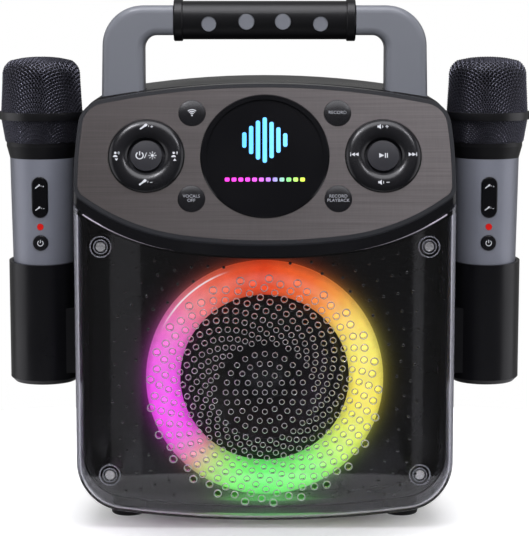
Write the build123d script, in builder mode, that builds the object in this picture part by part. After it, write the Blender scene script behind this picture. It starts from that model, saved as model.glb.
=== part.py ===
from build123d import *
import os
from math import cos, radians, sin, sqrt, tan

# Portable karaoke speaker with two hand microphones. Millimetres, +Z up, the front faces -Y.
# The origin lies on the floor, under the middle of the whole object.

# ---------------------------------------------------------------- driving dimensions

# Body
BODY_WIDTH = 240.0
BODY_DEPTH = 180.0
BODY_BOTTOM = 4.5             # lowest line of the curved underside
UNDERSIDE_RADIUS = 700.0
LOW_CORNER_RADIUS = 32.0
SIDE_TOP = 215.0              # height at which the sides begin to lean in
SHOULDER_LEAN = 5.0
SHOULDER_RADIUS = 16.5
CROWN_Z = 282.0
CROWN_RADIUS = 600.0
CABINET_WALL = 3.0
CABINET_FRONT = -BODY_DEPTH / 2 + 38.0
REAR_SEAM_Y = BODY_DEPTH / 2 - 24.0
REAR_EDGE_RADIUS = 12.0
SEAM = 0.2                    # moulding clearance between housings

# Control panel, a plane that leans back
PANEL_TILT = 22.0
PANEL_Z = 237.5               # height of the display's centre
RIM_WIDTH = 2.6
PLATE_LOW = 55.0
PLATE_HIGH = 45.3
PLATE_LOW_RADIUS = 400.0
PLATE_TOP_RADIUS = 500.0
PLATE_KNEE = 50.0
PLATE_LOW_CORNER = 23.5
PLATE_LEAN_START = 14.0
PLATE_LEAN = 3.6
PLATE_LOW_FILLET = 8.0
PLATE_TOP_FILLET = 15.0
PLATE_THICKNESS = 1.5
BEZEL_WEB = 2.5
BEZEL_WALL = 2.4
BEZEL_DEPTH = 17.0
SKIRT_HEIGHT = 8.0
BROW_DEPTH = 24.0

# Display
DISPLAY_RADIUS = 40.7
DISPLAY_LENS_RADIUS = 36.9
DISPLAY_PROUD = 0.9
DISPLAY_CHAMFER = 0.7
DISPLAY_LEDGE = 3.0           # web that the lens rests on

# Ring keys and buttons
RING_U = 74.6
RING_RADIUS = 23.75
RING_BORE = 12.0
RING_PROUD = 3.0
RING_SINK = 4.0
RING_EDGE_INNER = 0.9
RING_EDGE_OUTER = 0.6
RING_SHOULDER = 2.2
RING_SHOULDER_INSET = 1.8
RING_TRAVEL_GAP = 0.45
PIVOT_WALL = 1.7
PIVOT_HEIGHT = 1.9
TILT_GAP = 0.4
CENTRE_BUTTON_RADIUS = 9.9
CENTRE_BUTTON_PROUD = 0.8
SMALL_BUTTON_RADIUS = 8.4
SMALL_BUTTON_PROUD = 1.2
SMALL_BUTTON_U = 46.0
SMALL_BUTTON_V = 28.2
BUTTON_CLEARANCE = 0.3
BUTTON_TRAVEL = 0.6
BUTTON_FLANGE = 1.2
BUTTON_FLANGE_REACH = 1.0
BUTTON_EDGE = 0.3             # share of the cap's height that its edge keeps
BOARD_THICKNESS = 1.6
SWITCH_RADIUS = 2.5
SWITCH_HEIGHT = 1.2
PAD_HEIGHT = 2.0
BOARD_MARGIN = 6.0
BEZEL_POST_RADIUS = 2.5
BEZEL_POST_INSET = 17.0
BEZEL_POSTS = (
    (BODY_WIDTH / 2 - BEZEL_POST_INSET, 16.0),
    (BODY_WIDTH / 2 - BEZEL_POST_INSET, -16.0),
    (22.0, -45.0),
    (31.0, 34.0),
)
PLATE_FIT = 0.1

# Front cover and its perforations
COVER_FACE = -BODY_DEPTH / 2 + 8.0
COVER_WALL = 2.4
COVER_EDGE_RADIUS = 5.0
COVER_HORN_Z = 207.5
HOLE_SIDES = 6
CENTRE_RINGS = 4
CENTRE_PITCH = 6.2
CENTRE_HOLE = 1.9
ARM_COUNT = 26
ARM_RINGS = 8
ARM_INNER_RADIUS = 31.8
ARM_PITCH = 5.8
ARM_TWIST = 11.6              # degrees from one ring of the arms to the next
ARM_HOLE_INNER = 1.7
ARM_HOLE_GROWTH = 0.1
POST_RADIUS = 6.8
POST_TOP = (BODY_WIDTH / 2 - 17.0, 181.4)
POST_LOW = (BODY_WIDTH / 2 - 21.4, 35.1)

# Loudspeaker and light ring
SPEAKER_Z = 88.6
BAFFLE_FACE = CABINET_FRONT + 22.0
BAFFLE_WALL = 3.0
RING_LIGHT_HEIGHT = 9.0
RING_LIGHT_WALL = 2.0
BASKET_RADIUS = 66.0
BAFFLE_HOLE = BASKET_RADIUS - 8.0
RING_LIGHT_OUTER = BASKET_RADIUS + 11.7
RING_LIGHT_INNER = BASKET_RADIUS - 10.5
BASKET_FLANGE = 2.5
BASKET_THROAT = BASKET_RADIUS - 13.0
BASKET_DEPTH = 50.0
BASKET_WALL = 2.2
BASKET_BACK_RADIUS = BASKET_RADIUS - 26.0
BASKET_WINDOWS = 6
BASKET_WINDOW = (19.0, 30.0)
LED_COUNT = 12
LED_SIZE = 5.0
LED_HEIGHT = 1.0
SURROUND_WIDTH = 8.0
SURROUND_RUBBER = 1.2
CONE_LIP = 3.0
CONE_PAPER = 1.2
CONE_NECK = 16.0
CONE_DEPTH = 26.0
CAP_RADIUS = 20.0
CAP_RISE = 8.0
COIL_DEPTH = 30.0
COIL_CLEARANCE = 0.4
COIL_TRAVEL = 4.0
MAGNET_RADIUS = 38.0
MAGNET_HEIGHT = 20.0
MAGNET_PLATE_RADIUS = 36.0
MAGNET_PLATE = 4.0

# Handle
HANDLE_Y = -22.0
HANDLE_DEPTH = 26.0
HANDLE_OUTER = BODY_WIDTH / 2 - 14.7
HANDLE_INNER = HANDLE_OUTER - 27.8
HANDLE_LEAN = 1.6
HANDLE_FOOT_Z = 263.0
HANDLE_BAR_Z = 321.5
HANDLE_BAR_HEIGHT = 19.0
HANDLE_OUTER_CORNER = 26.0
HANDLE_INNER_CORNER = 8.5
HANDLE_EDGE_RADIUS = 5.0
HANDLE_SCREW_HEIGHTS = (291.0, 313.0)
WELL_CLEARANCE = 0.8
WELL_WALL = 2.5
GRIP_LENGTH = 117.5
GRIP_RADIUS = 12.35
GRIP_FLANGE_RADIUS = 13.45
GRIP_FLANGE_WIDTH = 5.9
GRIP_EDGE_RADIUS = 0.9
GRIP_BORE_CLEARANCE = 0.15
GRIP_WINDOWS = ((-35.8, 2.3, 5.0), (-11.7, 0.8, 5.35), (11.7, 0.8, 5.35), (35.8, 2.3, 5.0))
BUMP_CLEARANCE = 0.35
BUMP_SINK = 0.8

# Microphones
MIC_Y = -7.0
MIC_TOP = 297.0
MIC_LENGTH = 211.0
MIC_BARREL_TOP = 231.7
MIC_COLLAR_TOP = 242.5
MIC_FOOT_RADIUS = 20.2
MIC_FOOT_CHAMFER = 3.0
MIC_NECK_RADIUS = 21.3
MIC_COLLAR_RADIUS = 23.4
MIC_COLLAR_BAND = 3.0
MIC_HEAD_RADIUS = 25.8
MIC_HEAD_MIDDLE = 259.4
MIC_HEAD_SHOULDER = (24.6, 12.5)  # radius and drop from the top, where the side ends
MIC_HEAD_CORNER = (23.3, 6.2)  # and half-way round its rounded corner
MIC_CROWN_RADIUS = 19.0
MIC_CROWN_DROP = 2.2
MIC_MESH_WALL = 1.2
MIC_RING_WALL = 1.5
MIC_RING_HEIGHT = 5.1
MIC_LUGS = 2
MIC_LUG_PROUD = 1.1
MIC_LUG_WIDTH = 9.0
MIC_LUG_ROUND = 0.9
MIC_ROCKER = (10.2, 26.5)
MIC_ROCKER_Z = 207.0
MIC_SWITCH_RADIUS = 4.95
MIC_SWITCH_Z = 177.0
MIC_LAMP_RADIUS = 2.1
MIC_LAMP_Z = 187.6
MIC_KEY_PROUD = 0.9
MIC_KEY_DEPTH = 2.6
MIC_KEY_CLEARANCE = 0.3
MIC_KEY_EDGE = 0.7
MIC_LAMP_PROUD = 0.3
CELL_RADIUS = 9.1
CELL_LENGTH = 65.0
CELL_LIFT = 8.0
CAPSULE_RADIUS = 12.0
CAPSULE_HEIGHT = 16.0
CAPSULE_EDGE_RADIUS = 2.0

# Microphone holders
HOLDER_GAP = 3.4
HOLDER_RADIUS = 23.0
HOLDER_CLEARANCE = 0.6
HOLDER_TOP = 162.4             # front of the rim
HOLDER_RIM_SLOPE = 3.3
HOLDER_FLOOR = 3.0
HOLDER_ROUND = 3.0
MIC_SEAT_GAP = 0.3
BRACKET_BOTTOM = 90.0
BRACKET_TOP = 133.2
BRACKET_REACH = 11.0
BRACKET_DEPTH = 34.0

# Feet
FOOT_RADIUS = 11.2
FOOT_X = BODY_WIDTH / 2 - 30.5
FOOT_FRONT_Y = -BODY_DEPTH / 2 + 50.0
FOOT_REAR_Y = BODY_DEPTH / 2 - 38.0
FOOT_EDGE_RADIUS = 1.5

# Screws
SCREW_RADIUS = 1.5
SCREW_HEAD_RADIUS = 3.35
SCREW_HEAD_HEIGHT = 1.4
SCREW_LENGTH = 12.0
SCREW_FIT = 0.05
REAR_WELL_RADIUS = 4.2
REAR_WELL_DEPTH = 10.0
REAR_BOSS_RADIUS = 6.0
REAR_SCREW_INSET = 20.0
REAR_SCREW_HEIGHTS = (60.0, 150.0, 235.0)

# Boards, battery and sockets
MAIN_BOARD = (110.0, 76.0)
MAIN_BOARD_Y = BODY_DEPTH / 2 - 20.0
MAIN_BOARD_Z = 82.0
BOARD_BOSS_RADIUS = 3.5
BOARD_BOSS_INSET = 7.5
BATTERY = (76.0, 38.0, 21.0)
BATTERY_Y = BODY_DEPTH / 2 - 52.0
BATTERY_FLOOR = 17.0
BATTERY_EDGE_RADIUS = 8.4
BATTERY_RIB_X = 25.0
SOCKET_PLATE = (66.0, 28.0)
SOCKET_PLATE_CORNER = 3.0
SOCKET_PLATE_THICKNESS = 1.5
SOCKET_Z = 62.0
AUX_X = -16.0
CHARGE_X = 16.0
AUX_RADIUS = 3.9
AUX_BORE = 1.8
CHARGE_SIZE = (9.4, 3.6)
CHARGE_WALL = 0.4

# ---------------------------------------------------------------- derived places

HALF_WIDTH = BODY_WIDTH / 2
TILT = radians(PANEL_TILT)
PLATE_HALF = HALF_WIDTH - RIM_WIDTH
PANEL_Y = -BODY_DEPTH / 2 + (PLATE_LOW + RIM_WIDTH) * sin(TILT)
SKIRT_SHIFT = SKIRT_HEIGHT * tan(TILT)
COVER_DEPTH = CABINET_FRONT - COVER_FACE
COVER_INSIDE = COVER_FACE + COVER_WALL
BAFFLE_BACK = BAFFLE_FACE + BAFFLE_WALL
REAR_FACE = BODY_DEPTH / 2
REAR_INSIDE = REAR_FACE - CABINET_WALL
WEB_BACK = -PLATE_THICKNESS - BEZEL_WEB
PIVOT_TOP = -RING_SINK - TILT_GAP
PIVOT_RADIUS = RING_BORE + PIVOT_WALL
PAD_TOP = PIVOT_TOP - PIVOT_HEIGHT - TILT_GAP
BOARD_TOP = PAD_TOP - PAD_HEIGHT
SWITCH_TOP = BOARD_TOP + SWITCH_HEIGHT
STEM_END = SWITCH_TOP + BUTTON_TRAVEL + BUTTON_CLEARANCE
MIC_X = HALF_WIDTH + HOLDER_GAP + HOLDER_RADIUS
MIC_BOTTOM = MIC_TOP - MIC_LENGTH
CUT = 400.0                   # longer than the object


def sagitta(half_chord, radius):
    """How far an arc of that radius has dropped, half a chord from its middle."""
    return radius - sqrt(radius**2 - half_chord**2)


def dome(radius, drop):
    """Half-way point of a shallow dome's profile, counted from the dome's top."""
    curve = (radius**2 + drop**2) / (2 * drop)
    return radius / 2, -sagitta(radius / 2, curve)


def facing(y):
    """Plane at depth y, seen from the front, with its normal towards the front."""
    return Plane.XZ.offset(-y)


def panel_plane(u=0.0, v=0.0, w=0.0, back=0.0, drop=0.0):
    """Plane along the control panel: u right, v up the slope, w out of the panel."""
    y = PANEL_Y + v * sin(TILT) - w * cos(TILT) + back
    z = PANEL_Z + v * cos(TILT) + w * sin(TILT) - drop
    return Plane(origin=(u, y, z), x_dir=(1, 0, 0), z_dir=(0, -cos(TILT), sin(TILT)))


def panel_section(u, v):
    """Plane through the axis of a round panel piece, for its turned profile."""
    centre = panel_plane(u, v).origin
    return Plane(origin=centre, x_dir=(1, 0, 0), z_dir=(0, -sin(TILT), -cos(TILT)))


def panel_axis(u, v):
    """Axis of a round panel piece."""
    return Axis(panel_plane(u, v).origin, (0, -cos(TILT), sin(TILT)))


def body_face(inset=0.0):
    """Front outline of the body: curved underside, leaning shoulders and crowned top."""
    low = BODY_BOTTOM + sagitta(HALF_WIDTH, UNDERSIDE_RADIUS)
    shoulder = HALF_WIDTH - SHOULDER_LEAN
    high = CROWN_Z - sagitta(shoulder, CROWN_RADIUS)
    with BuildSketch() as outline:
        with BuildLine():
            ThreePointArc((-HALF_WIDTH, low), (0, BODY_BOTTOM), (HALF_WIDTH, low))
            Line((HALF_WIDTH, low), (HALF_WIDTH, SIDE_TOP))
            TangentArc((HALF_WIDTH, SIDE_TOP), (shoulder, high), tangent=(0, 1))
            ThreePointArc((shoulder, high), (0, CROWN_Z), (-shoulder, high))
            TangentArc((-HALF_WIDTH, SIDE_TOP), (-shoulder, high), tangent=(0, 1))
            Line((-HALF_WIDTH, SIDE_TOP), (-HALF_WIDTH, low))
        make_face()
        if inset:
            offset(amount=-inset, kind=Kind.INTERSECTION)
        fillet(outline.vertices().sort_by(Axis.Y)[:2], LOW_CORNER_RADIUS - inset)
        fillet(outline.vertices().sort_by(Axis.Y)[-2:], SHOULDER_RADIUS - inset)
    return outline.sketch


def plate_face(grow=0.0):
    """Outline of the control plate, in panel coordinates."""
    knee = -PLATE_LOW + sagitta(PLATE_KNEE, PLATE_LOW_RADIUS)
    knee_slope = PLATE_KNEE / sqrt(PLATE_LOW_RADIUS**2 - PLATE_KNEE**2)
    top_u = PLATE_HALF - PLATE_LEAN
    top_v = PLATE_HIGH - sagitta(top_u, PLATE_TOP_RADIUS)
    with BuildSketch() as outline:
        with BuildLine():
            ThreePointArc((-PLATE_KNEE, knee), (0, -PLATE_LOW), (PLATE_KNEE, knee))
            for side in (-1, 1):
                bend = side * PLATE_KNEE
                edge = side * PLATE_HALF
                TangentArc((bend, knee), (edge, -PLATE_LOW_CORNER), tangent=(side, knee_slope))
                Line((edge, -PLATE_LOW_CORNER), (edge, -PLATE_LEAN_START))
                TangentArc((edge, -PLATE_LEAN_START), (side * top_u, top_v), tangent=(0, 1))
            ThreePointArc((top_u, top_v), (0, PLATE_HIGH), (-top_u, top_v))
        make_face()
        if grow:
            offset(amount=grow, kind=Kind.INTERSECTION)
        widest = outline.vertices().filter_by(lambda corner: abs(corner.X) > top_u + grow + 1)
        fillet(widest.sort_by(Axis.Y)[:2], PLATE_LOW_FILLET + grow)
        fillet(outline.vertices().sort_by(Axis.Y)[-2:], PLATE_TOP_FILLET + grow)
    return outline.sketch


def lower_block(front, depth, inset, edge_radius=0.0):
    """The body's outline below the control panel, as a block that starts at depth front."""
    with BuildPart() as block:
        with BuildSketch(facing(front)):
            add(body_face(inset))
        extrude(amount=-depth)
        if edge_radius:
            fillet(block.faces().sort_by(Axis.Y)[0].edges(), edge_radius)
        for drop in (0, SKIRT_HEIGHT):
            with BuildSketch(panel_plane(back=-CUT / 2, drop=drop)):
                add(plate_face(RIM_WIDTH + SEAM + inset))
            extrude(amount=CUT, dir=(0, 1, 0), mode=Mode.SUBTRACT)
        with BuildSketch(Plane.XY.offset(COVER_HORN_Z - inset)):
            Rectangle(CUT, CUT)
        extrude(amount=CUT, mode=Mode.SUBTRACT)
    return block.part


def head_block(grow, start, depth):
    """The panel's outline and its skirt, swept back from a plane along the panel."""
    with BuildPart() as block:
        with BuildSketch(panel_plane(back=start)):
            add(plate_face(grow))
        extrude(amount=depth, dir=(0, 1, 0))
        with BuildSketch(panel_plane(back=start)):
            add(plate_face(grow))
        extrude(amount=SKIRT_HEIGHT, dir=(0, 0, -1))
        with BuildSketch(panel_plane(back=start, drop=SKIRT_HEIGHT)):
            add(plate_face(grow))
        extrude(amount=depth - SKIRT_SHIFT, dir=(0, 1, 0))
    return block.part


os.makedirs("parts", exist_ok=True)

# ---------------------------------------------------------------- cabinet and rear cover

cabinet_depth = REAR_SEAM_Y - CABINET_FRONT
cover_depth = REAR_FACE - REAR_SEAM_Y
well_x = (HANDLE_OUTER + HANDLE_INNER) / 2
well_width = HANDLE_OUTER - HANDLE_INNER + 2 * WELL_CLEARANCE
well_depth = HANDLE_DEPTH + 2 * WELL_CLEARANCE
rear_screw_x = HALF_WIDTH - REAR_SCREW_INSET
rear_screw_spots = [(side * rear_screw_x, z) for z in REAR_SCREW_HEIGHTS for side in (-1, 1)]
cabinet_brow = head_block(RIM_WIDTH, BEZEL_DEPTH, BROW_DEPTH)
brow_hollow = head_block(RIM_WIDTH - CABINET_WALL, BEZEL_DEPTH, BROW_DEPTH)
shell_face = body_face()
hollow_face = body_face(CABINET_WALL)

# The hollow of the cabinet. Solid blocks are left standing in it round the handle's legs.
with BuildPart() as cabinet_hollow:
    with BuildSketch(facing(CABINET_FRONT)):
        add(hollow_face)
    extrude(amount=-cabinet_depth)
    split(bisect_by=panel_plane(back=BEZEL_DEPTH + CABINET_WALL), keep=Keep.BOTTOM)
    add(brow_hollow)
    with BuildSketch(Plane.XY.offset(HANDLE_FOOT_Z - WELL_WALL)):
        with Locations((-well_x, HANDLE_Y), (well_x, HANDLE_Y)):
            Rectangle(well_width + 2 * WELL_WALL, well_depth + 2 * WELL_WALL)
    extrude(amount=CUT, mode=Mode.SUBTRACT)

# Cabinet: one moulding, open at the front for the panel and the baffle, and at the back
with BuildPart() as cabinet:
    with BuildSketch(facing(CABINET_FRONT)):
        add(shell_face)
    extrude(amount=-cabinet_depth)
    split(bisect_by=panel_plane(back=BEZEL_DEPTH), keep=Keep.BOTTOM)
    add(cabinet_brow)
    add(cabinet_hollow.part, mode=Mode.SUBTRACT)
    with BuildSketch(Plane.XY.offset(HANDLE_FOOT_Z)):
        with Locations((-well_x, HANDLE_Y), (well_x, HANDLE_Y)):
            Rectangle(well_width, well_depth)
        fillet(vertices(), HANDLE_EDGE_RADIUS)
    extrude(amount=CUT, mode=Mode.SUBTRACT)
    # bosses for the rear screws, each on a rib from the side wall
    with BuildSketch(facing(REAR_SEAM_Y)):
        with Locations(*rear_screw_spots):
            Circle(REAR_BOSS_RADIUS)
        for x, z in rear_screw_spots:
            reach = REAR_SCREW_INSET - CABINET_WALL / 2
            with Locations((x + (reach / 2 if x > 0 else -reach / 2), z)):
                Rectangle(reach, CABINET_WALL)
        with Locations(*rear_screw_spots):
            Circle(SCREW_RADIUS + SCREW_FIT, mode=Mode.SUBTRACT)
    extrude(amount=SCREW_LENGTH + CABINET_WALL)
    # two ribs on the floor that carry the battery
    rib_base = BODY_BOTTOM + CABINET_WALL / 2
    with BuildSketch(Plane.XY.offset(BATTERY_FLOOR)):
        with Locations((-BATTERY_RIB_X, BATTERY_Y), (BATTERY_RIB_X, BATTERY_Y)):
            Rectangle(CABINET_WALL, BATTERY[1])
    extrude(amount=rib_base - BATTERY_FLOOR)
cabinet.part.label = "cabinet"
export_step(cabinet.part, "parts/cabinet.step")

# Rear cover: a rounded tray with screw wells and a recess for the sockets
with BuildPart() as rear_hollow:
    with BuildSketch(facing(REAR_SEAM_Y)):
        add(hollow_face)
    extrude(amount=REAR_SEAM_Y - REAR_INSIDE)
    fillet(rear_hollow.faces().sort_by(Axis.Y)[-1].edges(), REAR_EDGE_RADIUS - CABINET_WALL)
with BuildPart() as rear_cover:
    with BuildSketch(facing(REAR_SEAM_Y)):
        add(shell_face)
    extrude(amount=-cover_depth)
    fillet(rear_cover.faces().sort_by(Axis.Y)[-1].edges(), REAR_EDGE_RADIUS)
    add(rear_hollow.part, mode=Mode.SUBTRACT)
    with BuildSketch(facing(REAR_SEAM_Y)):
        with Locations(*rear_screw_spots):
            Circle(REAR_BOSS_RADIUS)
    extrude(amount=-cover_depth + CABINET_WALL / 2)
    with BuildSketch(facing(REAR_FACE)):
        with Locations(*rear_screw_spots):
            Circle(REAR_WELL_RADIUS)
    extrude(amount=REAR_WELL_DEPTH, mode=Mode.SUBTRACT)
    with BuildSketch(facing(REAR_FACE)):
        with Locations(*rear_screw_spots):
            Circle(SCREW_RADIUS + SCREW_FIT)
    extrude(amount=cover_depth, mode=Mode.SUBTRACT)
    # bosses for the main board
    with BuildSketch(facing(MAIN_BOARD_Y + BOARD_THICKNESS)):
        with Locations((0, MAIN_BOARD_Z)):
            with GridLocations(*[size - 2 * BOARD_BOSS_INSET for size in MAIN_BOARD], 2, 2):
                Circle(BOARD_BOSS_RADIUS)
    extrude(amount=MAIN_BOARD_Y + BOARD_THICKNESS - REAR_INSIDE)
    # recess and window for the socket plate
    with BuildSketch(facing(REAR_FACE)):
        with Locations((0, SOCKET_Z)):
            RectangleRounded(SOCKET_PLATE[0], SOCKET_PLATE[1], SOCKET_PLATE_CORNER)
    extrude(amount=SOCKET_PLATE_THICKNESS, mode=Mode.SUBTRACT)
    with BuildSketch(facing(REAR_FACE)):
        with Locations((0, SOCKET_Z)):
            Rectangle(SOCKET_PLATE[0] - 2 * CABINET_WALL, SOCKET_PLATE[1] - 2 * CABINET_WALL)
    extrude(amount=2 * CABINET_WALL, mode=Mode.SUBTRACT)
rear_cover.part.label = "rear_cover"
export_step(rear_cover.part, "parts/rear_cover.step")

# Rear screws, heads down in their wells
with BuildPart() as rear_screws:
    well_floor = REAR_FACE - REAR_WELL_DEPTH
    with BuildSketch(facing(well_floor)):
        with Locations(*rear_screw_spots):
            Circle(SCREW_HEAD_RADIUS)
    extrude(amount=-SCREW_HEAD_HEIGHT)
    with BuildSketch(facing(well_floor)):
        with Locations(*rear_screw_spots):
            Circle(SCREW_RADIUS)
    extrude(amount=well_floor - REAR_SEAM_Y + SCREW_LENGTH)
rear_screws.part.label = "rear_screws"
export_step(rear_screws.part, "parts/rear_screws.step")

# Feet: four rubber pads, trimmed to the curve of the underside
with BuildPart() as body_envelope:
    with BuildSketch(facing(COVER_FACE)):
        add(shell_face)
    extrude(amount=-BODY_DEPTH)
with BuildPart() as feet:
    with BuildSketch():
        for y in (FOOT_FRONT_Y, FOOT_REAR_Y):
            with Locations((-FOOT_X, y), (FOOT_X, y)):
                Circle(FOOT_RADIUS)
    extrude(amount=LOW_CORNER_RADIUS)
    fillet(feet.edges().group_by(Axis.Z)[0], FOOT_EDGE_RADIUS)
    add(body_envelope.part, mode=Mode.SUBTRACT)
feet.part.label = "feet"
export_step(feet.part, "parts/feet.step")

# ---------------------------------------------------------------- front cover and baffle

cover_outside = lower_block(COVER_FACE, COVER_DEPTH, 0, COVER_EDGE_RADIUS)
cover_hollow = lower_block(COVER_INSIDE, COVER_DEPTH, COVER_WALL, COVER_EDGE_RADIUS - COVER_WALL)
screw_spots = [(side * x, z) for x, z in (POST_TOP, POST_LOW) for side in (-1, 1)]

# Front cover: smoked clear tray, perforated in rings at its middle and in curved arms outside them
with BuildPart() as front_cover:
    add(cover_outside)
    add(cover_hollow, mode=Mode.SUBTRACT)
    with BuildSketch(facing(COVER_FACE)):
        with Locations((0, SPEAKER_Z)):
            RegularPolygon(CENTRE_HOLE, HOLE_SIDES)
            for ring in range(1, CENTRE_RINGS + 1):
                with PolarLocations(ring * CENTRE_PITCH, 6 * ring):
                    RegularPolygon(CENTRE_HOLE, HOLE_SIDES)
            for ring in range(ARM_RINGS):
                radius = ARM_INNER_RADIUS + ring * ARM_PITCH
                with PolarLocations(radius, ARM_COUNT, start_angle=ring * ARM_TWIST):
                    RegularPolygon(ARM_HOLE_INNER + ring * ARM_HOLE_GROWTH, HOLE_SIDES)
        with Locations(*screw_spots):
            Circle(SCREW_RADIUS + 2 * SCREW_FIT)
    extrude(amount=-COVER_WALL, mode=Mode.SUBTRACT)
    with BuildSketch(facing(COVER_FACE)):
        with Locations(*screw_spots):
            Circle(SCREW_HEAD_RADIUS + 2 * SCREW_FIT)
    extrude(amount=-SCREW_HEAD_HEIGHT, mode=Mode.SUBTRACT)
front_cover.part.label = "front_cover"
export_step(front_cover.part, "parts/front_cover.step")

with BuildPart() as cover_screws:
    with BuildSketch(facing(COVER_FACE + SCREW_HEAD_HEIGHT)):
        with Locations(*screw_spots):
            Circle(SCREW_HEAD_RADIUS)
    extrude(amount=SCREW_HEAD_HEIGHT)
    with BuildSketch(facing(COVER_FACE + SCREW_HEAD_HEIGHT)):
        with Locations(*screw_spots):
            Circle(SCREW_RADIUS)
    extrude(amount=-SCREW_LENGTH)
cover_screws.part.label = "cover_screws"
export_step(cover_screws.part, "parts/cover_screws.step")

# Speaker baffle: a tray behind the cover, with the woofer's hole and four posts for the cover
baffle_outside = lower_block(CABINET_FRONT, BAFFLE_BACK - CABINET_FRONT, CABINET_WALL + SEAM)
baffle_hollow = lower_block(CABINET_FRONT, BAFFLE_FACE - CABINET_FRONT, 2 * CABINET_WALL + SEAM)
with BuildPart() as speaker_baffle:
    add(baffle_outside)
    add(baffle_hollow, mode=Mode.SUBTRACT)
    with BuildSketch(facing(BAFFLE_FACE)):
        with Locations((0, SPEAKER_Z)):
            Circle(BAFFLE_HOLE)
    extrude(amount=-BAFFLE_WALL, mode=Mode.SUBTRACT)
    with BuildSketch(facing(BAFFLE_FACE)):
        with Locations(*screw_spots):
            Circle(POST_RADIUS)
    extrude(amount=BAFFLE_FACE - COVER_INSIDE)
    with BuildSketch(facing(COVER_INSIDE)):
        with Locations(*screw_spots):
            Circle(SCREW_RADIUS + SCREW_FIT)
    extrude(amount=-SCREW_LENGTH - SCREW_FIT, mode=Mode.SUBTRACT)
    with BuildSketch(facing(BAFFLE_BACK)):
        with Locations((0, SPEAKER_Z)):
            with PolarLocations((BASKET_RADIUS + BAFFLE_HOLE) / 2, 4, start_angle=45):
                Circle(SCREW_RADIUS + SCREW_FIT)
    extrude(amount=BAFFLE_WALL, mode=Mode.SUBTRACT)
speaker_baffle.part.label = "speaker_baffle"
export_step(speaker_baffle.part, "parts/speaker_baffle.step")

# ---------------------------------------------------------------- light ring and loudspeaker

speaker_section = Plane.XY.offset(SPEAKER_Z)
speaker_axis = Axis((0, 0, SPEAKER_Z), (0, 1, 0))
ring_middle = (RING_LIGHT_OUTER + RING_LIGHT_INNER) / 2
ring_shoulder = BAFFLE_FACE - RING_LIGHT_HEIGHT / 2

# Light ring: a rounded diffuser channel
with BuildPart() as light_ring:
    with BuildSketch(speaker_section):
        with BuildLine():
            ThreePointArc(
                (RING_LIGHT_INNER, ring_shoulder),
                (ring_middle, BAFFLE_FACE - RING_LIGHT_HEIGHT),
                (RING_LIGHT_OUTER, ring_shoulder),
            )
            Polyline(
                (RING_LIGHT_OUTER, ring_shoulder),
                (RING_LIGHT_OUTER, BAFFLE_FACE),
                (RING_LIGHT_OUTER - RING_LIGHT_WALL, BAFFLE_FACE),
                (RING_LIGHT_OUTER - RING_LIGHT_WALL, ring_shoulder),
            )
            ThreePointArc(
                (RING_LIGHT_OUTER - RING_LIGHT_WALL, ring_shoulder),
                (ring_middle, BAFFLE_FACE - RING_LIGHT_HEIGHT + RING_LIGHT_WALL),
                (RING_LIGHT_INNER + RING_LIGHT_WALL, ring_shoulder),
            )
            Polyline(
                (RING_LIGHT_INNER + RING_LIGHT_WALL, ring_shoulder),
                (RING_LIGHT_INNER + RING_LIGHT_WALL, BAFFLE_FACE),
                (RING_LIGHT_INNER, BAFFLE_FACE),
                (RING_LIGHT_INNER, ring_shoulder),
            )
        make_face()
    revolve(axis=speaker_axis)
light_ring.part.label = "light_ring"
export_step(light_ring.part, "parts/light_ring.step")

# LED board: a flat ring on the baffle, inside the diffuser
with BuildPart() as led_board:
    with BuildSketch(facing(BAFFLE_FACE)):
        with Locations((0, SPEAKER_Z)):
            Circle(RING_LIGHT_OUTER - RING_LIGHT_WALL - SEAM)
            Circle(BAFFLE_HOLE + RING_LIGHT_WALL, mode=Mode.SUBTRACT)
    extrude(amount=BOARD_THICKNESS)
    with BuildSketch(facing(BAFFLE_FACE - BOARD_THICKNESS)):
        with Locations((0, SPEAKER_Z)):
            with PolarLocations(ring_middle, LED_COUNT):
                Rectangle(LED_SIZE, LED_SIZE)
    extrude(amount=LED_HEIGHT)
led_board.part.label = "led_board"
export_step(led_board.part, "parts/led_board.step")

# Woofer basket: flange, conical frame with windows, and the plate that the magnet sits on
basket_front = BAFFLE_BACK
basket_back = basket_front + BASKET_DEPTH
cone_root = BASKET_THROAT + BASKET_WALL
gap_outer = CONE_NECK + COIL_CLEARANCE
with BuildPart() as woofer_basket:
    with BuildSketch(speaker_section):
        with BuildLine():
            Polyline(
                (BASKET_THROAT, basket_front),
                (BASKET_RADIUS, basket_front),
                (BASKET_RADIUS, basket_front + BASKET_FLANGE),
                (cone_root, basket_front + BASKET_FLANGE),
                (BASKET_BACK_RADIUS, basket_back - BASKET_WALL),
                (BASKET_BACK_RADIUS, basket_back),
                (gap_outer, basket_back),
                (gap_outer, basket_back - BASKET_WALL),
                (BASKET_BACK_RADIUS - BASKET_WALL, basket_back - BASKET_WALL),
                (BASKET_THROAT, basket_front + BASKET_FLANGE),
                close=True,
            )
        make_face()
    revolve(axis=speaker_axis)
    with BuildSketch(facing(basket_front + 3 * BASKET_FLANGE)):
        with Locations((0, SPEAKER_Z)):
            with PolarLocations((cone_root + BASKET_BACK_RADIUS) / 2, BASKET_WINDOWS):
                Rectangle(*BASKET_WINDOW)
    extrude(amount=-(BASKET_DEPTH - 6 * BASKET_FLANGE), mode=Mode.SUBTRACT)
    with BuildSketch(facing(basket_front)):
        with Locations((0, SPEAKER_Z)):
            with PolarLocations((BASKET_RADIUS + BAFFLE_HOLE) / 2, 4, start_angle=45):
                Circle(SCREW_RADIUS + SCREW_FIT)
    extrude(amount=-BASKET_FLANGE, mode=Mode.SUBTRACT)
woofer_basket.part.label = "woofer_basket"
export_step(woofer_basket.part, "parts/woofer_basket.step")

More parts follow.
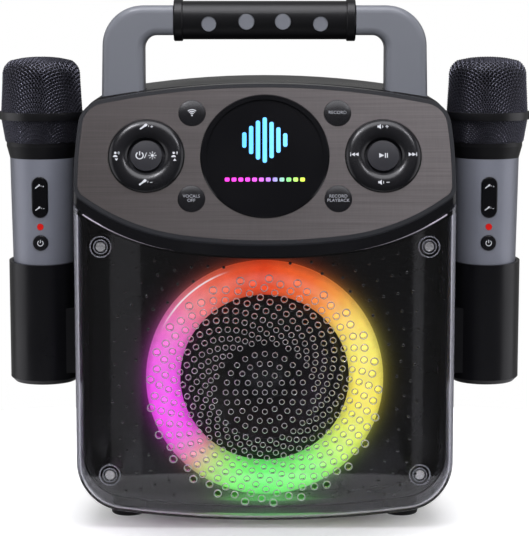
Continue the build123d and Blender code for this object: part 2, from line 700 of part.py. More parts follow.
with BuildPart() as woofer_screws:
    screw_seat = basket_front + BASKET_FLANGE
    with BuildSketch(facing(screw_seat)):
        with Locations((0, SPEAKER_Z)):
            with PolarLocations((BASKET_RADIUS + BAFFLE_HOLE) / 2, 4, start_angle=45):
                Circle(SCREW_HEAD_RADIUS)
    extrude(amount=-SCREW_HEAD_HEIGHT)
    with BuildSketch(facing(screw_seat)):
        with Locations((0, SPEAKER_Z)):
            with PolarLocations((BASKET_RADIUS + BAFFLE_HOLE) / 2, 4, start_angle=45):
                Circle(SCREW_RADIUS)
    extrude(amount=BASKET_FLANGE + BAFFLE_WALL)
woofer_screws.part.label = "woofer_screws"
export_step(woofer_screws.part, "parts/woofer_screws.step")

# Surround: a half roll of rubber, its outer lip on the basket's flange
roll_inner = BASKET_THROAT - SURROUND_WIDTH
lip_face = basket_front - SURROUND_RUBBER
roll_middle = BASKET_THROAT - SURROUND_WIDTH / 2
with BuildPart() as woofer_surround:
    with BuildSketch(speaker_section):
        with BuildLine():
            Polyline(
                (BASKET_THROAT, lip_face),
                (BAFFLE_HOLE - SEAM, lip_face),
                (BAFFLE_HOLE - SEAM, basket_front),
                (BASKET_THROAT - SURROUND_RUBBER, basket_front),
            )
            ThreePointArc(
                (BASKET_THROAT - SURROUND_RUBBER, basket_front),
                (roll_middle, lip_face - SURROUND_WIDTH / 2 + SURROUND_RUBBER),
                (roll_inner + SURROUND_RUBBER, basket_front),
            )
            Polyline(
                (roll_inner + SURROUND_RUBBER, basket_front),
                (roll_inner - CONE_LIP, basket_front),
                (roll_inner - CONE_LIP, lip_face),
                (roll_inner, lip_face),
            )
            ThreePointArc(
                (roll_inner, lip_face),
                (roll_middle, lip_face - SURROUND_WIDTH / 2),
                (BASKET_THROAT, lip_face),
            )
        make_face()
    revolve(axis=speaker_axis)
woofer_surround.part.label = "woofer_surround"
export_step(woofer_surround.part, "parts/woofer_surround.step")

# Cone with its dust cap and voice coil former, turned as one profile
cone_edge = roll_inner + SURROUND_RUBBER / 2
cone_inner = cone_edge - 2 * CONE_PAPER
coil_inner = CONE_NECK - CONE_PAPER
neck_front = basket_front + CONE_DEPTH
cap_edge = basket_front + CONE_DEPTH * (cone_inner - CAP_RADIUS) / (cone_inner - coil_inner)
cap_top = cap_edge - CAP_RISE
cap_middle = dome(CAP_RADIUS, CAP_RISE)
with BuildPart() as woofer_cone:
    with BuildSketch(speaker_section):
        with BuildLine():
            ThreePointArc((0, cap_top), (cap_middle[0], cap_top - cap_middle[1]), (CAP_RADIUS, cap_edge))
            Polyline(
                (CAP_RADIUS, cap_edge),
                (cone_inner, basket_front),
                (cone_edge, basket_front),
                (cone_edge, basket_front + CONE_PAPER / 2),
                (CONE_NECK, neck_front + CONE_PAPER),
                (CONE_NECK, neck_front + COIL_DEPTH),
                (coil_inner, neck_front + COIL_DEPTH),
                (coil_inner, cap_edge + CONE_PAPER),
                (0, cap_edge + CONE_PAPER),
                (0, cap_top),
            )
        make_face()
    revolve(axis=speaker_axis)
woofer_cone.part.label = "woofer_cone"
export_step(woofer_cone.part, "parts/woofer_cone.step")

# Magnet: ferrite between two steel plates, with the gap that the voice coil moves in
pole_radius = CONE_NECK - CONE_PAPER - COIL_CLEARANCE
magnet_back = basket_back + MAGNET_HEIGHT
gap_end = neck_front + COIL_DEPTH + COIL_TRAVEL
with BuildPart() as woofer_magnet:
    with BuildSketch(speaker_section):
        with BuildLine():
            Polyline(
                (0, basket_back),
                (pole_radius, basket_back),
                (pole_radius, gap_end),
                (gap_outer, gap_end),
                (gap_outer, basket_back),
                (MAGNET_PLATE_RADIUS, basket_back),
                (MAGNET_PLATE_RADIUS, basket_back + MAGNET_PLATE),
                (MAGNET_RADIUS, basket_back + MAGNET_PLATE),
                (MAGNET_RADIUS, magnet_back - MAGNET_PLATE),
                (MAGNET_PLATE_RADIUS, magnet_back - MAGNET_PLATE),
                (MAGNET_PLATE_RADIUS, magnet_back),
                (0, magnet_back),
                close=True,
            )
        make_face()
    revolve(axis=speaker_axis)
woofer_magnet.part.label = "woofer_magnet"
export_step(woofer_magnet.part, "parts/woofer_magnet.step")

# ---------------------------------------------------------------- control panel

web_shift = -WEB_BACK / cos(TILT)
bezel_outside = head_block(RIM_WIDTH, 0, BEZEL_DEPTH)
bezel_hollow = head_block(RIM_WIDTH - BEZEL_WALL, web_shift, BEZEL_DEPTH)
ring_spots = [(-RING_U, 0), (RING_U, 0)]
small_spots = [(u, v) for u in (-SMALL_BUTTON_U, SMALL_BUTTON_U) for v in (-SMALL_BUTTON_V, SMALL_BUTTON_V)]
post_spots = [(side * u, v) for u, v in BEZEL_POSTS for side in (-1, 1)]
board_face = plate_face(-BOARD_MARGIN)

# Bezel: the panel's moulded frame, with a skirt that hangs over the front cover
with BuildPart() as control_bezel:
    add(bezel_outside)
    add(bezel_hollow, mode=Mode.SUBTRACT)
    with BuildSketch(panel_plane()):
        add(plate_face(PLATE_FIT))
    extrude(amount=-PLATE_THICKNESS, mode=Mode.SUBTRACT)
    with BuildSketch(panel_plane(w=-PLATE_THICKNESS)):
        Circle(DISPLAY_LENS_RADIUS - DISPLAY_LEDGE)
        with Locations(*ring_spots):
            Circle(RING_RADIUS + RING_TRAVEL_GAP)
        with Locations(*small_spots):
            Circle(SMALL_BUTTON_RADIUS + BUTTON_CLEARANCE)
    extrude(amount=-BEZEL_WEB, mode=Mode.SUBTRACT)
    with BuildSketch(panel_plane(w=WEB_BACK)):
        with Locations(*post_spots):
            Circle(BEZEL_POST_RADIUS)
    extrude(amount=BOARD_TOP - WEB_BACK)
control_bezel.part.label = "control_bezel"
export_step(control_bezel.part, "parts/control_bezel.step")

# Control plate: brushed sheet with holes for the display, the keys and the buttons
with BuildPart() as control_plate:
    with BuildSketch(panel_plane(w=-PLATE_THICKNESS)):
        add(plate_face())
        Circle(DISPLAY_RADIUS + PLATE_FIT, mode=Mode.SUBTRACT)
        with Locations(*ring_spots):
            Circle(RING_RADIUS + RING_TRAVEL_GAP, mode=Mode.SUBTRACT)
        with Locations(*small_spots):
            Circle(SMALL_BUTTON_RADIUS + BUTTON_CLEARANCE, mode=Mode.SUBTRACT)
    extrude(amount=PLATE_THICKNESS)
control_plate.part.label = "control_plate"
export_step(control_plate.part, "parts/control_plate.step")

with BuildPart() as display_trim:
    with BuildSketch(panel_plane(w=-PLATE_THICKNESS)):
        Circle(DISPLAY_RADIUS)
        Circle(DISPLAY_LENS_RADIUS + PLATE_FIT, mode=Mode.SUBTRACT)
    extrude(amount=PLATE_THICKNESS + DISPLAY_PROUD)
    trim_top = display_trim.faces().sort_by(panel_axis(0, 0))[-1]
    chamfer(trim_top.outer_wire().edges(), DISPLAY_CHAMFER)
display_trim.part.label = "display_trim"
export_step(display_trim.part, "parts/display_trim.step")

with BuildPart() as display_lens:
    with BuildSketch(panel_plane(w=-PLATE_THICKNESS)):
        Circle(DISPLAY_LENS_RADIUS)
    extrude(amount=PLATE_THICKNESS)
display_lens.part.label = "display_lens"
export_step(display_lens.part, "parts/display_lens.step")

# Key board: circuit board with pivot pads, dome switches under the rings, and button switches
with BuildPart() as key_board:
    with BuildSketch(panel_plane(w=BOARD_TOP)):
        add(board_face)
    extrude(amount=-BOARD_THICKNESS)
    with BuildSketch(panel_plane(w=BOARD_TOP)):
        with Locations(*ring_spots):
            Circle(PIVOT_RADIUS)
            Circle(RING_BORE, mode=Mode.SUBTRACT)
    extrude(amount=PAD_HEIGHT)
    with BuildSketch(panel_plane(w=BOARD_TOP)):
        with Locations(*ring_spots, *small_spots):
            Circle(SWITCH_RADIUS)
        with Locations(*ring_spots):
            with PolarLocations((RING_RADIUS + RING_BORE) / 2, 4):
                Circle(SWITCH_RADIUS)
    extrude(amount=SWITCH_HEIGHT)
key_board.part.label = "key_board"
export_step(key_board.part, "parts/key_board.step")

for side, spot in zip(("left", "right"), ring_spots):
    u, v = spot
    axis = panel_axis(u, v)

    # Ring pivot: the small gimbal ring that lets the key rock both ways
    with BuildPart() as ring_pivot:
        with BuildSketch(panel_plane(u, v, PIVOT_TOP)):
            Circle(PIVOT_RADIUS)
            Circle(RING_BORE, mode=Mode.SUBTRACT)
        extrude(amount=-PIVOT_HEIGHT)
    ring_pivot.part.label = f"{side}_ring_pivot"
    export_step(ring_pivot.part, f"parts/{side}_ring_pivot.step")

    # Ring key: turned profile with a crowned top
    with BuildPart() as ring_key:
        with BuildSketch(panel_section(u, v)):
            with BuildLine():
                Polyline(
                    (RING_BORE, RING_EDGE_INNER),
                    (RING_BORE, -RING_SINK),
                    (RING_RADIUS, -RING_SINK),
                    (RING_RADIUS, RING_EDGE_OUTER),
                )
                Spline(
                    (RING_RADIUS, RING_EDGE_OUTER),
                    (RING_RADIUS - RING_SHOULDER_INSET, RING_SHOULDER),
                    ((RING_RADIUS + RING_BORE) / 2, RING_PROUD),
                    (RING_BORE + RING_SHOULDER_INSET, RING_SHOULDER),
                    (RING_BORE, RING_EDGE_INNER),
                )
            make_face()
        revolve(axis=axis)
    ring_key.part.label = f"{side}_ring"
    export_step(ring_key.part, f"parts/{side}_ring.step")

# Push buttons: domed caps on stems, each held down by a flange
centre_keys = [("power_button", -RING_U, 0.0), ("play_button", RING_U, 0.0)]
small_keys = [
    ("wireless_button", -SMALL_BUTTON_U, SMALL_BUTTON_V),
    ("record_button", SMALL_BUTTON_U, SMALL_BUTTON_V),
    ("vocals_button", -SMALL_BUTTON_U, -SMALL_BUTTON_V),
    ("playback_button", SMALL_BUTTON_U, -SMALL_BUTTON_V),
]
for name, u, v in centre_keys + small_keys:
    central = name in ("power_button", "play_button")
    radius = CENTRE_BUTTON_RADIUS if central else SMALL_BUTTON_RADIUS
    proud = CENTRE_BUTTON_PROUD if central else SMALL_BUTTON_PROUD
    flange_radius = RING_BORE - BUTTON_CLEARANCE if central else radius + BUTTON_FLANGE_REACH
    flange_top = WEB_BACK - BUTTON_CLEARANCE
    flange_low = flange_top - BUTTON_FLANGE
    edge_height = proud * BUTTON_EDGE
    middle = dome(radius, proud - edge_height)
    with BuildPart() as button:
        with BuildSketch(panel_section(u, v)):
            with BuildLine():
                Polyline(
                    (0, proud),
                    (0, STEM_END),
                    (SWITCH_RADIUS, STEM_END),
                    (SWITCH_RADIUS, flange_low),
                    (flange_radius, flange_low),
                    (flange_radius, flange_top),
                    (radius, flange_top),
                    (radius, edge_height),
                )
                ThreePointArc((radius, edge_height), (middle[0], proud + middle[1]), (0, proud))
            make_face()
        revolve(axis=panel_axis(u, v))
    button.part.label = name
    export_step(button.part, f"parts/{name}.step")

# ---------------------------------------------------------------- handle and grip

bar_radius = HANDLE_BAR_HEIGHT / 2
bar_top = HANDLE_BAR_Z + bar_radius
bar_under = HANDLE_BAR_Z - bar_radius

# The whole handle, before it is parted into its two half shells
with BuildPart() as handle_form:
    with BuildSketch(facing(HANDLE_Y)):
        with BuildLine():
            Polyline(
                (-HANDLE_OUTER, HANDLE_FOOT_Z),
                (-HANDLE_OUTER + HANDLE_LEAN, bar_top),
                (HANDLE_OUTER - HANDLE_LEAN, bar_top),
                (HANDLE_OUTER, HANDLE_FOOT_Z),
                close=True,
            )
        make_face()
        fillet(vertices().group_by(Axis.Y)[-1], HANDLE_OUTER_CORNER)
        with BuildLine():
            Polyline(
                (-HANDLE_INNER, HANDLE_FOOT_Z - 1),
                (-HANDLE_INNER, bar_under),
                (HANDLE_INNER, bar_under),
                (HANDLE_INNER, HANDLE_FOOT_Z - 1),
                close=True,
            )
        make_face(mode=Mode.SUBTRACT)
        fillet(vertices().filter_by(lambda corner: abs(corner.Y - bar_under) < SEAM), HANDLE_INNER_CORNER)
    extrude(amount=HANDLE_DEPTH / 2, both=True)
    fillet(handle_form.edges().filter_by(Axis.Y, reverse=True).filter_by(
        lambda edge: edge.center().Z > HANDLE_FOOT_Z + 1), HANDLE_EDGE_RADIUS)
    with BuildSketch(facing(HANDLE_Y)):
        with Locations((0, HANDLE_BAR_Z)):
            Rectangle(GRIP_LENGTH, 2 * HANDLE_BAR_HEIGHT)
    extrude(amount=HANDLE_DEPTH, both=True, mode=Mode.SUBTRACT)
    with BuildSketch(Plane(origin=(0, HANDLE_Y, HANDLE_BAR_Z), x_dir=(0, 1, 0), z_dir=(1, 0, 0))):
        Circle(bar_radius)
    extrude(amount=GRIP_LENGTH / 2, both=True)
    for x, drop, radius in GRIP_WINDOWS:
        with BuildSketch(facing(HANDLE_Y)):
            with Locations((x, HANDLE_BAR_Z - drop)):
                Circle(radius - BUMP_CLEARANCE)
        extrude(amount=GRIP_RADIUS - BUMP_SINK)

with BuildPart() as handle_front:
    add(handle_form.part)
    split(bisect_by=facing(HANDLE_Y), keep=Keep.TOP)
handle_front.part.label = "handle_front"
export_step(handle_front.part, "parts/handle_front.step")

handle_screw_spots = [(side * well_x, z) for side in (-1, 1) for z in HANDLE_SCREW_HEIGHTS]
with BuildPart() as handle_rear:
    add(handle_form.part)
    split(bisect_by=facing(HANDLE_Y), keep=Keep.BOTTOM)
    with BuildSketch(facing(HANDLE_Y + HANDLE_DEPTH / 2)):
        with Locations(*handle_screw_spots):
            Circle(SCREW_HEAD_RADIUS + 2 * SCREW_FIT)
    extrude(amount=2 * SCREW_HEAD_HEIGHT, mode=Mode.SUBTRACT)
    with BuildSketch(facing(HANDLE_Y + HANDLE_DEPTH / 2)):
        with Locations(*handle_screw_spots):
            Circle(SCREW_RADIUS + SCREW_FIT)
    extrude(amount=SCREW_LENGTH, mode=Mode.SUBTRACT)
handle_rear.part.label = "handle_rear"
export_step(handle_rear.part, "parts/handle_rear.step")

with BuildPart() as handle_screws:
    handle_seat = HANDLE_Y + HANDLE_DEPTH / 2 - 2 * SCREW_HEAD_HEIGHT
    with BuildSketch(facing(handle_seat)):
        with Locations(*handle_screw_spots):
            Circle(SCREW_HEAD_RADIUS)
    extrude(amount=-SCREW_HEAD_HEIGHT)
    with BuildSketch(facing(handle_seat)):
        with Locations(*handle_screw_spots):
            Circle(SCREW_RADIUS)
    extrude(amount=SCREW_LENGTH - 2 * SCREW_HEAD_HEIGHT - SEAM)
handle_screws.part.label = "handle_screws"
export_step(handle_screws.part, "parts/handle_screws.step")

# Grip: rubber sleeve with end flanges and four round windows
with BuildPart() as handle_grip:
    grip_plane = Plane(origin=(0, HANDLE_Y, HANDLE_BAR_Z), x_dir=(0, 1, 0), z_dir=(1, 0, 0))
    with BuildSketch(grip_plane):
        Circle(GRIP_RADIUS)
    extrude(amount=GRIP_LENGTH / 2 - SEAM, both=True)
    for end in (-1, 1):
        with BuildSketch(grip_plane.offset(end * (GRIP_LENGTH / 2 - SEAM))):
            Circle(GRIP_FLANGE_RADIUS)
        extrude(amount=-end * GRIP_FLANGE_WIDTH)
    flange_edges = handle_grip.edges().filter_by(
        lambda edge: edge.geom_type == GeomType.CIRCLE and edge.radius > GRIP_RADIUS + SEAM)
    fillet(flange_edges, GRIP_EDGE_RADIUS)
    with BuildSketch(grip_plane):
        Circle(bar_radius + GRIP_BORE_CLEARANCE)
    extrude(amount=GRIP_LENGTH, both=True, mode=Mode.SUBTRACT)
    for x, drop, radius in GRIP_WINDOWS:
        with BuildSketch(facing(HANDLE_Y)):
            with Locations((x, HANDLE_BAR_Z - drop)):
                Circle(radius)
        extrude(amount=2 * GRIP_RADIUS, mode=Mode.SUBTRACT)
handle_grip.part.label = "handle_grip"
export_step(handle_grip.part, "parts/handle_grip.step")

# ---------------------------------------------------------------- boards, battery and sockets

with BuildPart() as main_board:
    with BuildSketch(facing(MAIN_BOARD_Y)):
        with Locations((0, MAIN_BOARD_Z)):
            Rectangle(*MAIN_BOARD)
    extrude(amount=-BOARD_THICKNESS)
main_board.part.label = "main_board"
export_step(main_board.part, "parts/main_board.step")

with BuildPart() as battery_pack:
    with BuildSketch(Plane.XY.offset(BATTERY_FLOOR)):
        with Locations((0, BATTERY_Y)):
            Rectangle(BATTERY[0], BATTERY[1])
    extrude(amount=BATTERY[2])
    fillet(battery_pack.edges().filter_by(Axis.X), BATTERY_EDGE_RADIUS)
battery_pack.part.label = "battery_pack"
export_step(battery_pack.part, "parts/battery_pack.step")

plate_back = REAR_FACE - SOCKET_PLATE_THICKNESS
with BuildPart() as socket_plate:
    with BuildSketch(facing(plate_back)):
        with Locations((0, SOCKET_Z)):
            RectangleRounded(SOCKET_PLATE[0] - SEAM, SOCKET_PLATE[1] - SEAM, SOCKET_PLATE_CORNER)
        with Locations((AUX_X, SOCKET_Z)):
            Circle(AUX_RADIUS + PLATE_FIT, mode=Mode.SUBTRACT)
        with Locations((CHARGE_X, SOCKET_Z)):
            SlotOverall(*[size + 2 * PLATE_FIT for size in CHARGE_SIZE], mode=Mode.SUBTRACT)
    extrude(amount=-SOCKET_PLATE_THICKNESS + PLATE_FIT)
socket_plate.part.label = "socket_plate"
export_step(socket_plate.part, "parts/socket_plate.step")

board_back = MAIN_BOARD_Y + BOARD_THICKNESS
socket_end = REAR_FACE - PLATE_FIT
with BuildPart() as aux_socket:
    with BuildSketch(facing(board_back)):
        with Locations((AUX_X, SOCKET_Z)):
            Circle(AUX_RADIUS)
    extrude(amount=board_back - socket_end)
    with BuildSketch(facing(socket_end)):
        with Locations((AUX_X, SOCKET_Z)):
            Circle(AUX_BORE)
    extrude(amount=socket_end - board_back - CABINET_WALL, mode=Mode.SUBTRACT)
aux_socket.part.label = "aux_socket"
export_step(aux_socket.part, "parts/aux_socket.step")

with BuildPart() as charge_socket:
    with BuildSketch(facing(board_back)):
        with Locations((CHARGE_X, SOCKET_Z)):
            SlotOverall(*CHARGE_SIZE)
    extrude(amount=board_back - socket_end)
    with BuildSketch(facing(socket_end)):
        with Locations((CHARGE_X, SOCKET_Z)):
            SlotOverall(*[size - 2 * CHARGE_WALL for size in CHARGE_SIZE])
    extrude(amount=(socket_end - board_back) / 2, mode=Mode.SUBTRACT)
charge_socket.part.label = "charge_socket"
export_step(charge_socket.part, "parts/charge_socket.step")

# ---------------------------------------------------------------- holders and microphones

mesh_low = MIC_COLLAR_TOP
ring_low = MIC_HEAD_MIDDLE - MIC_RING_HEIGHT / 2
bore_radius = MIC_FOOT_RADIUS + HOLDER_CLEARANCE
holder_floor_top = MIC_BOTTOM - MIC_SEAT_GAP
holder_low = holder_floor_top - HOLDER_FLOOR
holder_high = HOLDER_TOP + HOLDER_RADIUS
rim_normal = (0, -sin(radians(HOLDER_RIM_SLOPE)), cos(radians(HOLDER_RIM_SLOPE)))


def mic_front_radius(z):
    """Radius of the tapered barrel at height z."""
    share = (z - HOLDER_TOP) / (MIC_BARREL_TOP - HOLDER_TOP)
    return MIC_FOOT_RADIUS + max(0.0, share) * (MIC_NECK_RADIUS - MIC_FOOT_RADIUS)


for side, x_sign in (("left", -1), ("right", 1)):
    mic_x = x_sign * MIC_X
    section = Plane(origin=(mic_x, MIC_Y, 0), x_dir=(1, 0, 0), z_dir=(0, -1, 0))
    axis = Axis((mic_x, MIC_Y, 0), (0, 0, 1))

    # Holder: a deep cup and the block that fixes it to the cabinet's side
    with BuildPart() as mic_holder:
        with BuildSketch(section):
            with BuildLine():
                Polyline(
                    (0, holder_low),
                    (HOLDER_RADIUS - HOLDER_ROUND, holder_low),
                    (HOLDER_RADIUS, holder_low + HOLDER_ROUND),
                    (HOLDER_RADIUS, holder_high),
                    (0, holder_high),
                    close=True,
                )
            make_face()
        revolve(axis=axis)
        with BuildSketch(Plane.XY.offset(BRACKET_BOTTOM)):
            with Locations((x_sign * (HALF_WIDTH + BRACKET_REACH / 2), MIC_Y)):
                Rectangle(BRACKET_REACH, BRACKET_DEPTH)
        extrude(amount=BRACKET_TOP - BRACKET_BOTTOM)
        with BuildSketch(Plane(origin=(mic_x, MIC_Y, holder_floor_top))):
            Circle(bore_radius)
        extrude(amount=CUT, mode=Mode.SUBTRACT)
        rim_point = (mic_x, MIC_Y - HOLDER_RADIUS, HOLDER_TOP)
        split(bisect_by=Plane(origin=rim_point, x_dir=(1, 0, 0), z_dir=rim_normal), keep=Keep.BOTTOM)
    mic_holder.part.label = f"{side}_mic_holder"
    export_step(mic_holder.part, f"parts/{side}_mic_holder.step")

    # Barrel: tapered body with a chamber for the cell and pockets for the keys
    with BuildPart() as mic_barrel:
        with BuildSketch(section):
            with BuildLine():
                Polyline(
                    (0, MIC_BOTTOM),
                    (MIC_FOOT_RADIUS - MIC_FOOT_CHAMFER, MIC_BOTTOM),
                    (MIC_FOOT_RADIUS, MIC_BOTTOM + MIC_FOOT_CHAMFER),
                    (MIC_FOOT_RADIUS, HOLDER_TOP),
                    (MIC_NECK_RADIUS, MIC_BARREL_TOP),
                    (0, MIC_BARREL_TOP),
                    close=True,
                )
            make_face()
        revolve(axis=axis)
        with BuildSketch(Plane(origin=(mic_x, MIC_Y, MIC_BOTTOM + CELL_LIFT))):
            Circle(CELL_RADIUS + SEAM)
        extrude(amount=CELL_LENGTH + SEAM, mode=Mode.SUBTRACT)
        pocket_floor = MIC_Y - MIC_FOOT_RADIUS + MIC_KEY_DEPTH + BUTTON_TRAVEL
        with BuildSketch(facing(pocket_floor)):
            with Locations((mic_x, MIC_ROCKER_Z)):
                SlotCenterToCenter(
                    MIC_ROCKER[1] - MIC_ROCKER[0],
                    MIC_ROCKER[0] + 2 * MIC_KEY_CLEARANCE,
                    rotation=90,
                )
            with Locations((mic_x, MIC_SWITCH_Z)):
                Circle(MIC_SWITCH_RADIUS + MIC_KEY_CLEARANCE)
            with Locations((mic_x, MIC_LAMP_Z)):
                Circle(MIC_LAMP_RADIUS + PLATE_FIT)
        extrude(amount=MIC_NECK_RADIUS, mode=Mode.SUBTRACT)
    mic_barrel.part.label = f"{side}_mic_barrel"
    export_step(mic_barrel.part, f"parts/{side}_mic_barrel.step")

    with BuildPart() as mic_cell:
        with BuildSketch(Plane(origin=(mic_x, MIC_Y, MIC_BOTTOM + CELL_LIFT))):
            Circle(CELL_RADIUS)
        extrude(amount=CELL_LENGTH)
    mic_cell.part.label = f"{side}_mic_cell"
    export_step(mic_cell.part, f"parts/{side}_mic_cell.step")

    # Collar between barrel and head
    with BuildPart() as mic_collar:
        with BuildSketch(section):
            with BuildLine():
                Polyline(
                    (0, MIC_BARREL_TOP),
                    (MIC_NECK_RADIUS, MIC_BARREL_TOP),
                    (MIC_COLLAR_RADIUS, MIC_COLLAR_TOP - MIC_COLLAR_BAND),
                    (MIC_COLLAR_RADIUS, MIC_COLLAR_TOP),
                    (0, MIC_COLLAR_TOP),
                    close=True,
                )
            make_face()
        revolve(axis=axis)
    mic_collar.part.label = f"{side}_mic_collar"
    export_step(mic_collar.part, f"parts/{side}_mic_collar.step")

    # Grille: a hollow basket that widens to the head's middle and closes in a flat dome
    with BuildPart() as mic_grille:
        with BuildSketch(section):
            for wall, mode in ((0.0, Mode.ADD), (MIC_MESH_WALL, Mode.SUBTRACT)):
                crown = MIC_CROWN_RADIUS - wall / 2
                crown_low = MIC_TOP - MIC_CROWN_DROP - wall
                head = MIC_HEAD_RADIUS - wall
                side_top = (MIC_HEAD_SHOULDER[0] - wall, MIC_TOP - MIC_HEAD_SHOULDER[1])
                corner = (MIC_HEAD_CORNER[0] - wall, MIC_TOP - MIC_HEAD_CORNER[1] - wall / 2)
                middle = dome(crown, MIC_CROWN_DROP)
                with BuildLine():
                    Polyline(
                        (0, mesh_low),
                        (MIC_COLLAR_RADIUS - wall, mesh_low),
                        (head, ring_low),
                        (head, ring_low + MIC_RING_HEIGHT),
                        side_top,
                    )
                    ThreePointArc(side_top, corner, (crown, crown_low))
                    ThreePointArc(
                        (crown, crown_low),
                        (middle[0], MIC_TOP - wall + middle[1]),
                        (0, MIC_TOP - wall),
                    )
                    Line((0, MIC_TOP - wall), (0, mesh_low))
                make_face(mode=mode)
        revolve(axis=axis)
    mic_grille.part.label = f"{side}_mic_grille"
    export_step(mic_grille.part, f"parts/{side}_mic_grille.step")

    # Anti-roll ring with lugs
    ring_inner = MIC_HEAD_RADIUS + PLATE_FIT
    ring_outer = ring_inner + MIC_RING_WALL
    with BuildPart() as mic_ring:
        with BuildSketch(Plane(origin=(mic_x, MIC_Y, ring_low))):
            Circle(ring_outer)
            with PolarLocations(ring_outer, MIC_LUGS):
                RectangleRounded(2 * MIC_LUG_PROUD, MIC_LUG_WIDTH, MIC_LUG_ROUND)
            Circle(ring_inner, mode=Mode.SUBTRACT)
        extrude(amount=MIC_RING_HEIGHT)
    mic_ring.part.label = f"{side}_mic_ring"
    export_step(mic_ring.part, f"parts/{side}_mic_ring.step")

    # Capsule inside the head
    with BuildPart() as mic_capsule:
        with BuildSketch(Plane(origin=(mic_x, MIC_Y, MIC_COLLAR_TOP))):
            Circle(CAPSULE_RADIUS)
        extrude(amount=CAPSULE_HEIGHT)
        fillet(mic_capsule.edges().group_by(Axis.Z)[-1], CAPSULE_EDGE_RADIUS)
    mic_capsule.part.label = f"{side}_mic_capsule"
    export_step(mic_capsule.part, f"parts/{side}_mic_capsule.step")

    # Rocker key, power switch and lamp
    key_back = MIC_Y - MIC_FOOT_RADIUS + MIC_KEY_DEPTH
    rocker_front = MIC_Y - mic_front_radius(MIC_ROCKER_Z) - MIC_KEY_PROUD
    with BuildPart() as mic_rocker:
        with BuildSketch(facing(key_back)):
            with Locations((mic_x, MIC_ROCKER_Z)):
                SlotCenterToCenter(MIC_ROCKER[1] - MIC_ROCKER[0], MIC_ROCKER[0], rotation=90)
        extrude(amount=key_back - rocker_front)
        fillet(mic_rocker.faces().sort_by(Axis.Y)[0].edges(), MIC_KEY_EDGE)
    mic_rocker.part.label = f"{side}_mic_rocker"
    export_step(mic_rocker.part, f"parts/{side}_mic_rocker.step")

    switch_front = MIC_Y - mic_front_radius(MIC_SWITCH_Z) - MIC_KEY_PROUD
    with BuildPart() as mic_switch:
        with BuildSketch(facing(key_back)):
            with Locations((mic_x, MIC_SWITCH_Z)):
                Circle(MIC_SWITCH_RADIUS)
        extrude(amount=key_back - switch_front)
        fillet(mic_switch.faces().sort_by(Axis.Y)[0].edges(), MIC_KEY_EDGE)
    mic_switch.part.label = f"{side}_mic_switch"
    export_step(mic_switch.part, f"parts/{side}_mic_switch.step")

    with BuildPart() as mic_lamp:
        with BuildSketch(facing(pocket_floor)):
            with Locations((mic_x, MIC_LAMP_Z)):
                Circle(MIC_LAMP_RADIUS)
        extrude(amount=pocket_floor - MIC_Y + mic_front_radius(MIC_LAMP_Z) + MIC_LAMP_PROUD)
    mic_lamp.part.label = f"{side}_mic_lamp"
    export_step(mic_lamp.part, f"parts/{side}_mic_lamp.step")
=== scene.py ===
"""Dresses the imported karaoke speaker: finishes, perforated clear cover, lit ring, printed keys and mesh heads.

Everything is in metres in the row frame: +Z up, the front faces -Y. Small sizes are written in millimetres and
multiplied by MM.
"""

import logging
import math
from dataclasses import dataclass, field
from enum import Enum
from functools import cache
from typing import Iterable, Sequence

import bmesh
import bpy
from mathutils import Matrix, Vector
from mathutils.bvhtree import BVHTree


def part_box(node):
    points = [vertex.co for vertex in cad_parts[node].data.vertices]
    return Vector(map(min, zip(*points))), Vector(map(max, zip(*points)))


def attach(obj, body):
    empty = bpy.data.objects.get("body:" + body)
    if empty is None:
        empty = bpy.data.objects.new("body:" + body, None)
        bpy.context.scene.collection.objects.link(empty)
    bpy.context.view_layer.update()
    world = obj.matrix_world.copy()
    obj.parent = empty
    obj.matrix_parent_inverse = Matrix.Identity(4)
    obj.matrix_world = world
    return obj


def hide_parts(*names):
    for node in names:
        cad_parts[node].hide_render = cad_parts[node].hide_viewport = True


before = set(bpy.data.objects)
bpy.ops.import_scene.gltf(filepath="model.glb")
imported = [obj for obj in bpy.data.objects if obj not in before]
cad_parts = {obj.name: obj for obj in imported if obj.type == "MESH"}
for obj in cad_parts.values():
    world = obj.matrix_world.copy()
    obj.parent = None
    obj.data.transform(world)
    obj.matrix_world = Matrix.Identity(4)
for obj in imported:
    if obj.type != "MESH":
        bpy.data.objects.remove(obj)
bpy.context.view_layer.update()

LOG = logging.getLogger("karaoke_speaker")
BODY = "body"
MM = 0.001
WHITE = (1.0, 1.0, 1.0)
NOISE_SPAN = (0.3, 0.7)  # nearly all of a noise's values lie in it

Colour = tuple[float, float, float]
Point = tuple[float, float]
Shapes = list[list[Point]]


def tone(red: int, green: int, blue: int) -> Colour:
    """Linear colour of an ordinary screen colour, whose parts run from 0 to 255."""
    shares = (part / 255 for part in (red, green, blue))
    return tuple(share / 12.92 if share <= 0.04045 else ((share + 0.055) / 1.055) ** 2.4 for share in shares)


def darker(colour: Colour, share: float) -> Colour:
    """The colour, made darker or, above 1, lighter."""
    return tuple(min(1.0, part * share) for part in colour)


# ---------------------------------------------------------------- node trees


class Field:
    """A number in a node tree that ordinary arithmetic works on."""

    def __init__(self, nodes: "Nodes", socket: bpy.types.NodeSocket) -> None:
        """Wraps an output socket."""
        self.nodes = nodes
        self.socket = socket

    def join(self, operation: str, other: object = 0.0) -> "Field":
        """One Math node of this number and another."""
        return self.nodes.math(operation, self, other)

    def __add__(self, other: object) -> "Field":
        """Sum."""
        return self.join("ADD", other)

    def __sub__(self, other: object) -> "Field":
        """Difference."""
        return self.join("SUBTRACT", other)

    def __mul__(self, other: object) -> "Field":
        """Product."""
        return self.join("MULTIPLY", other)

    def __truediv__(self, other: object) -> "Field":
        """Quotient."""
        return self.join("DIVIDE", other)


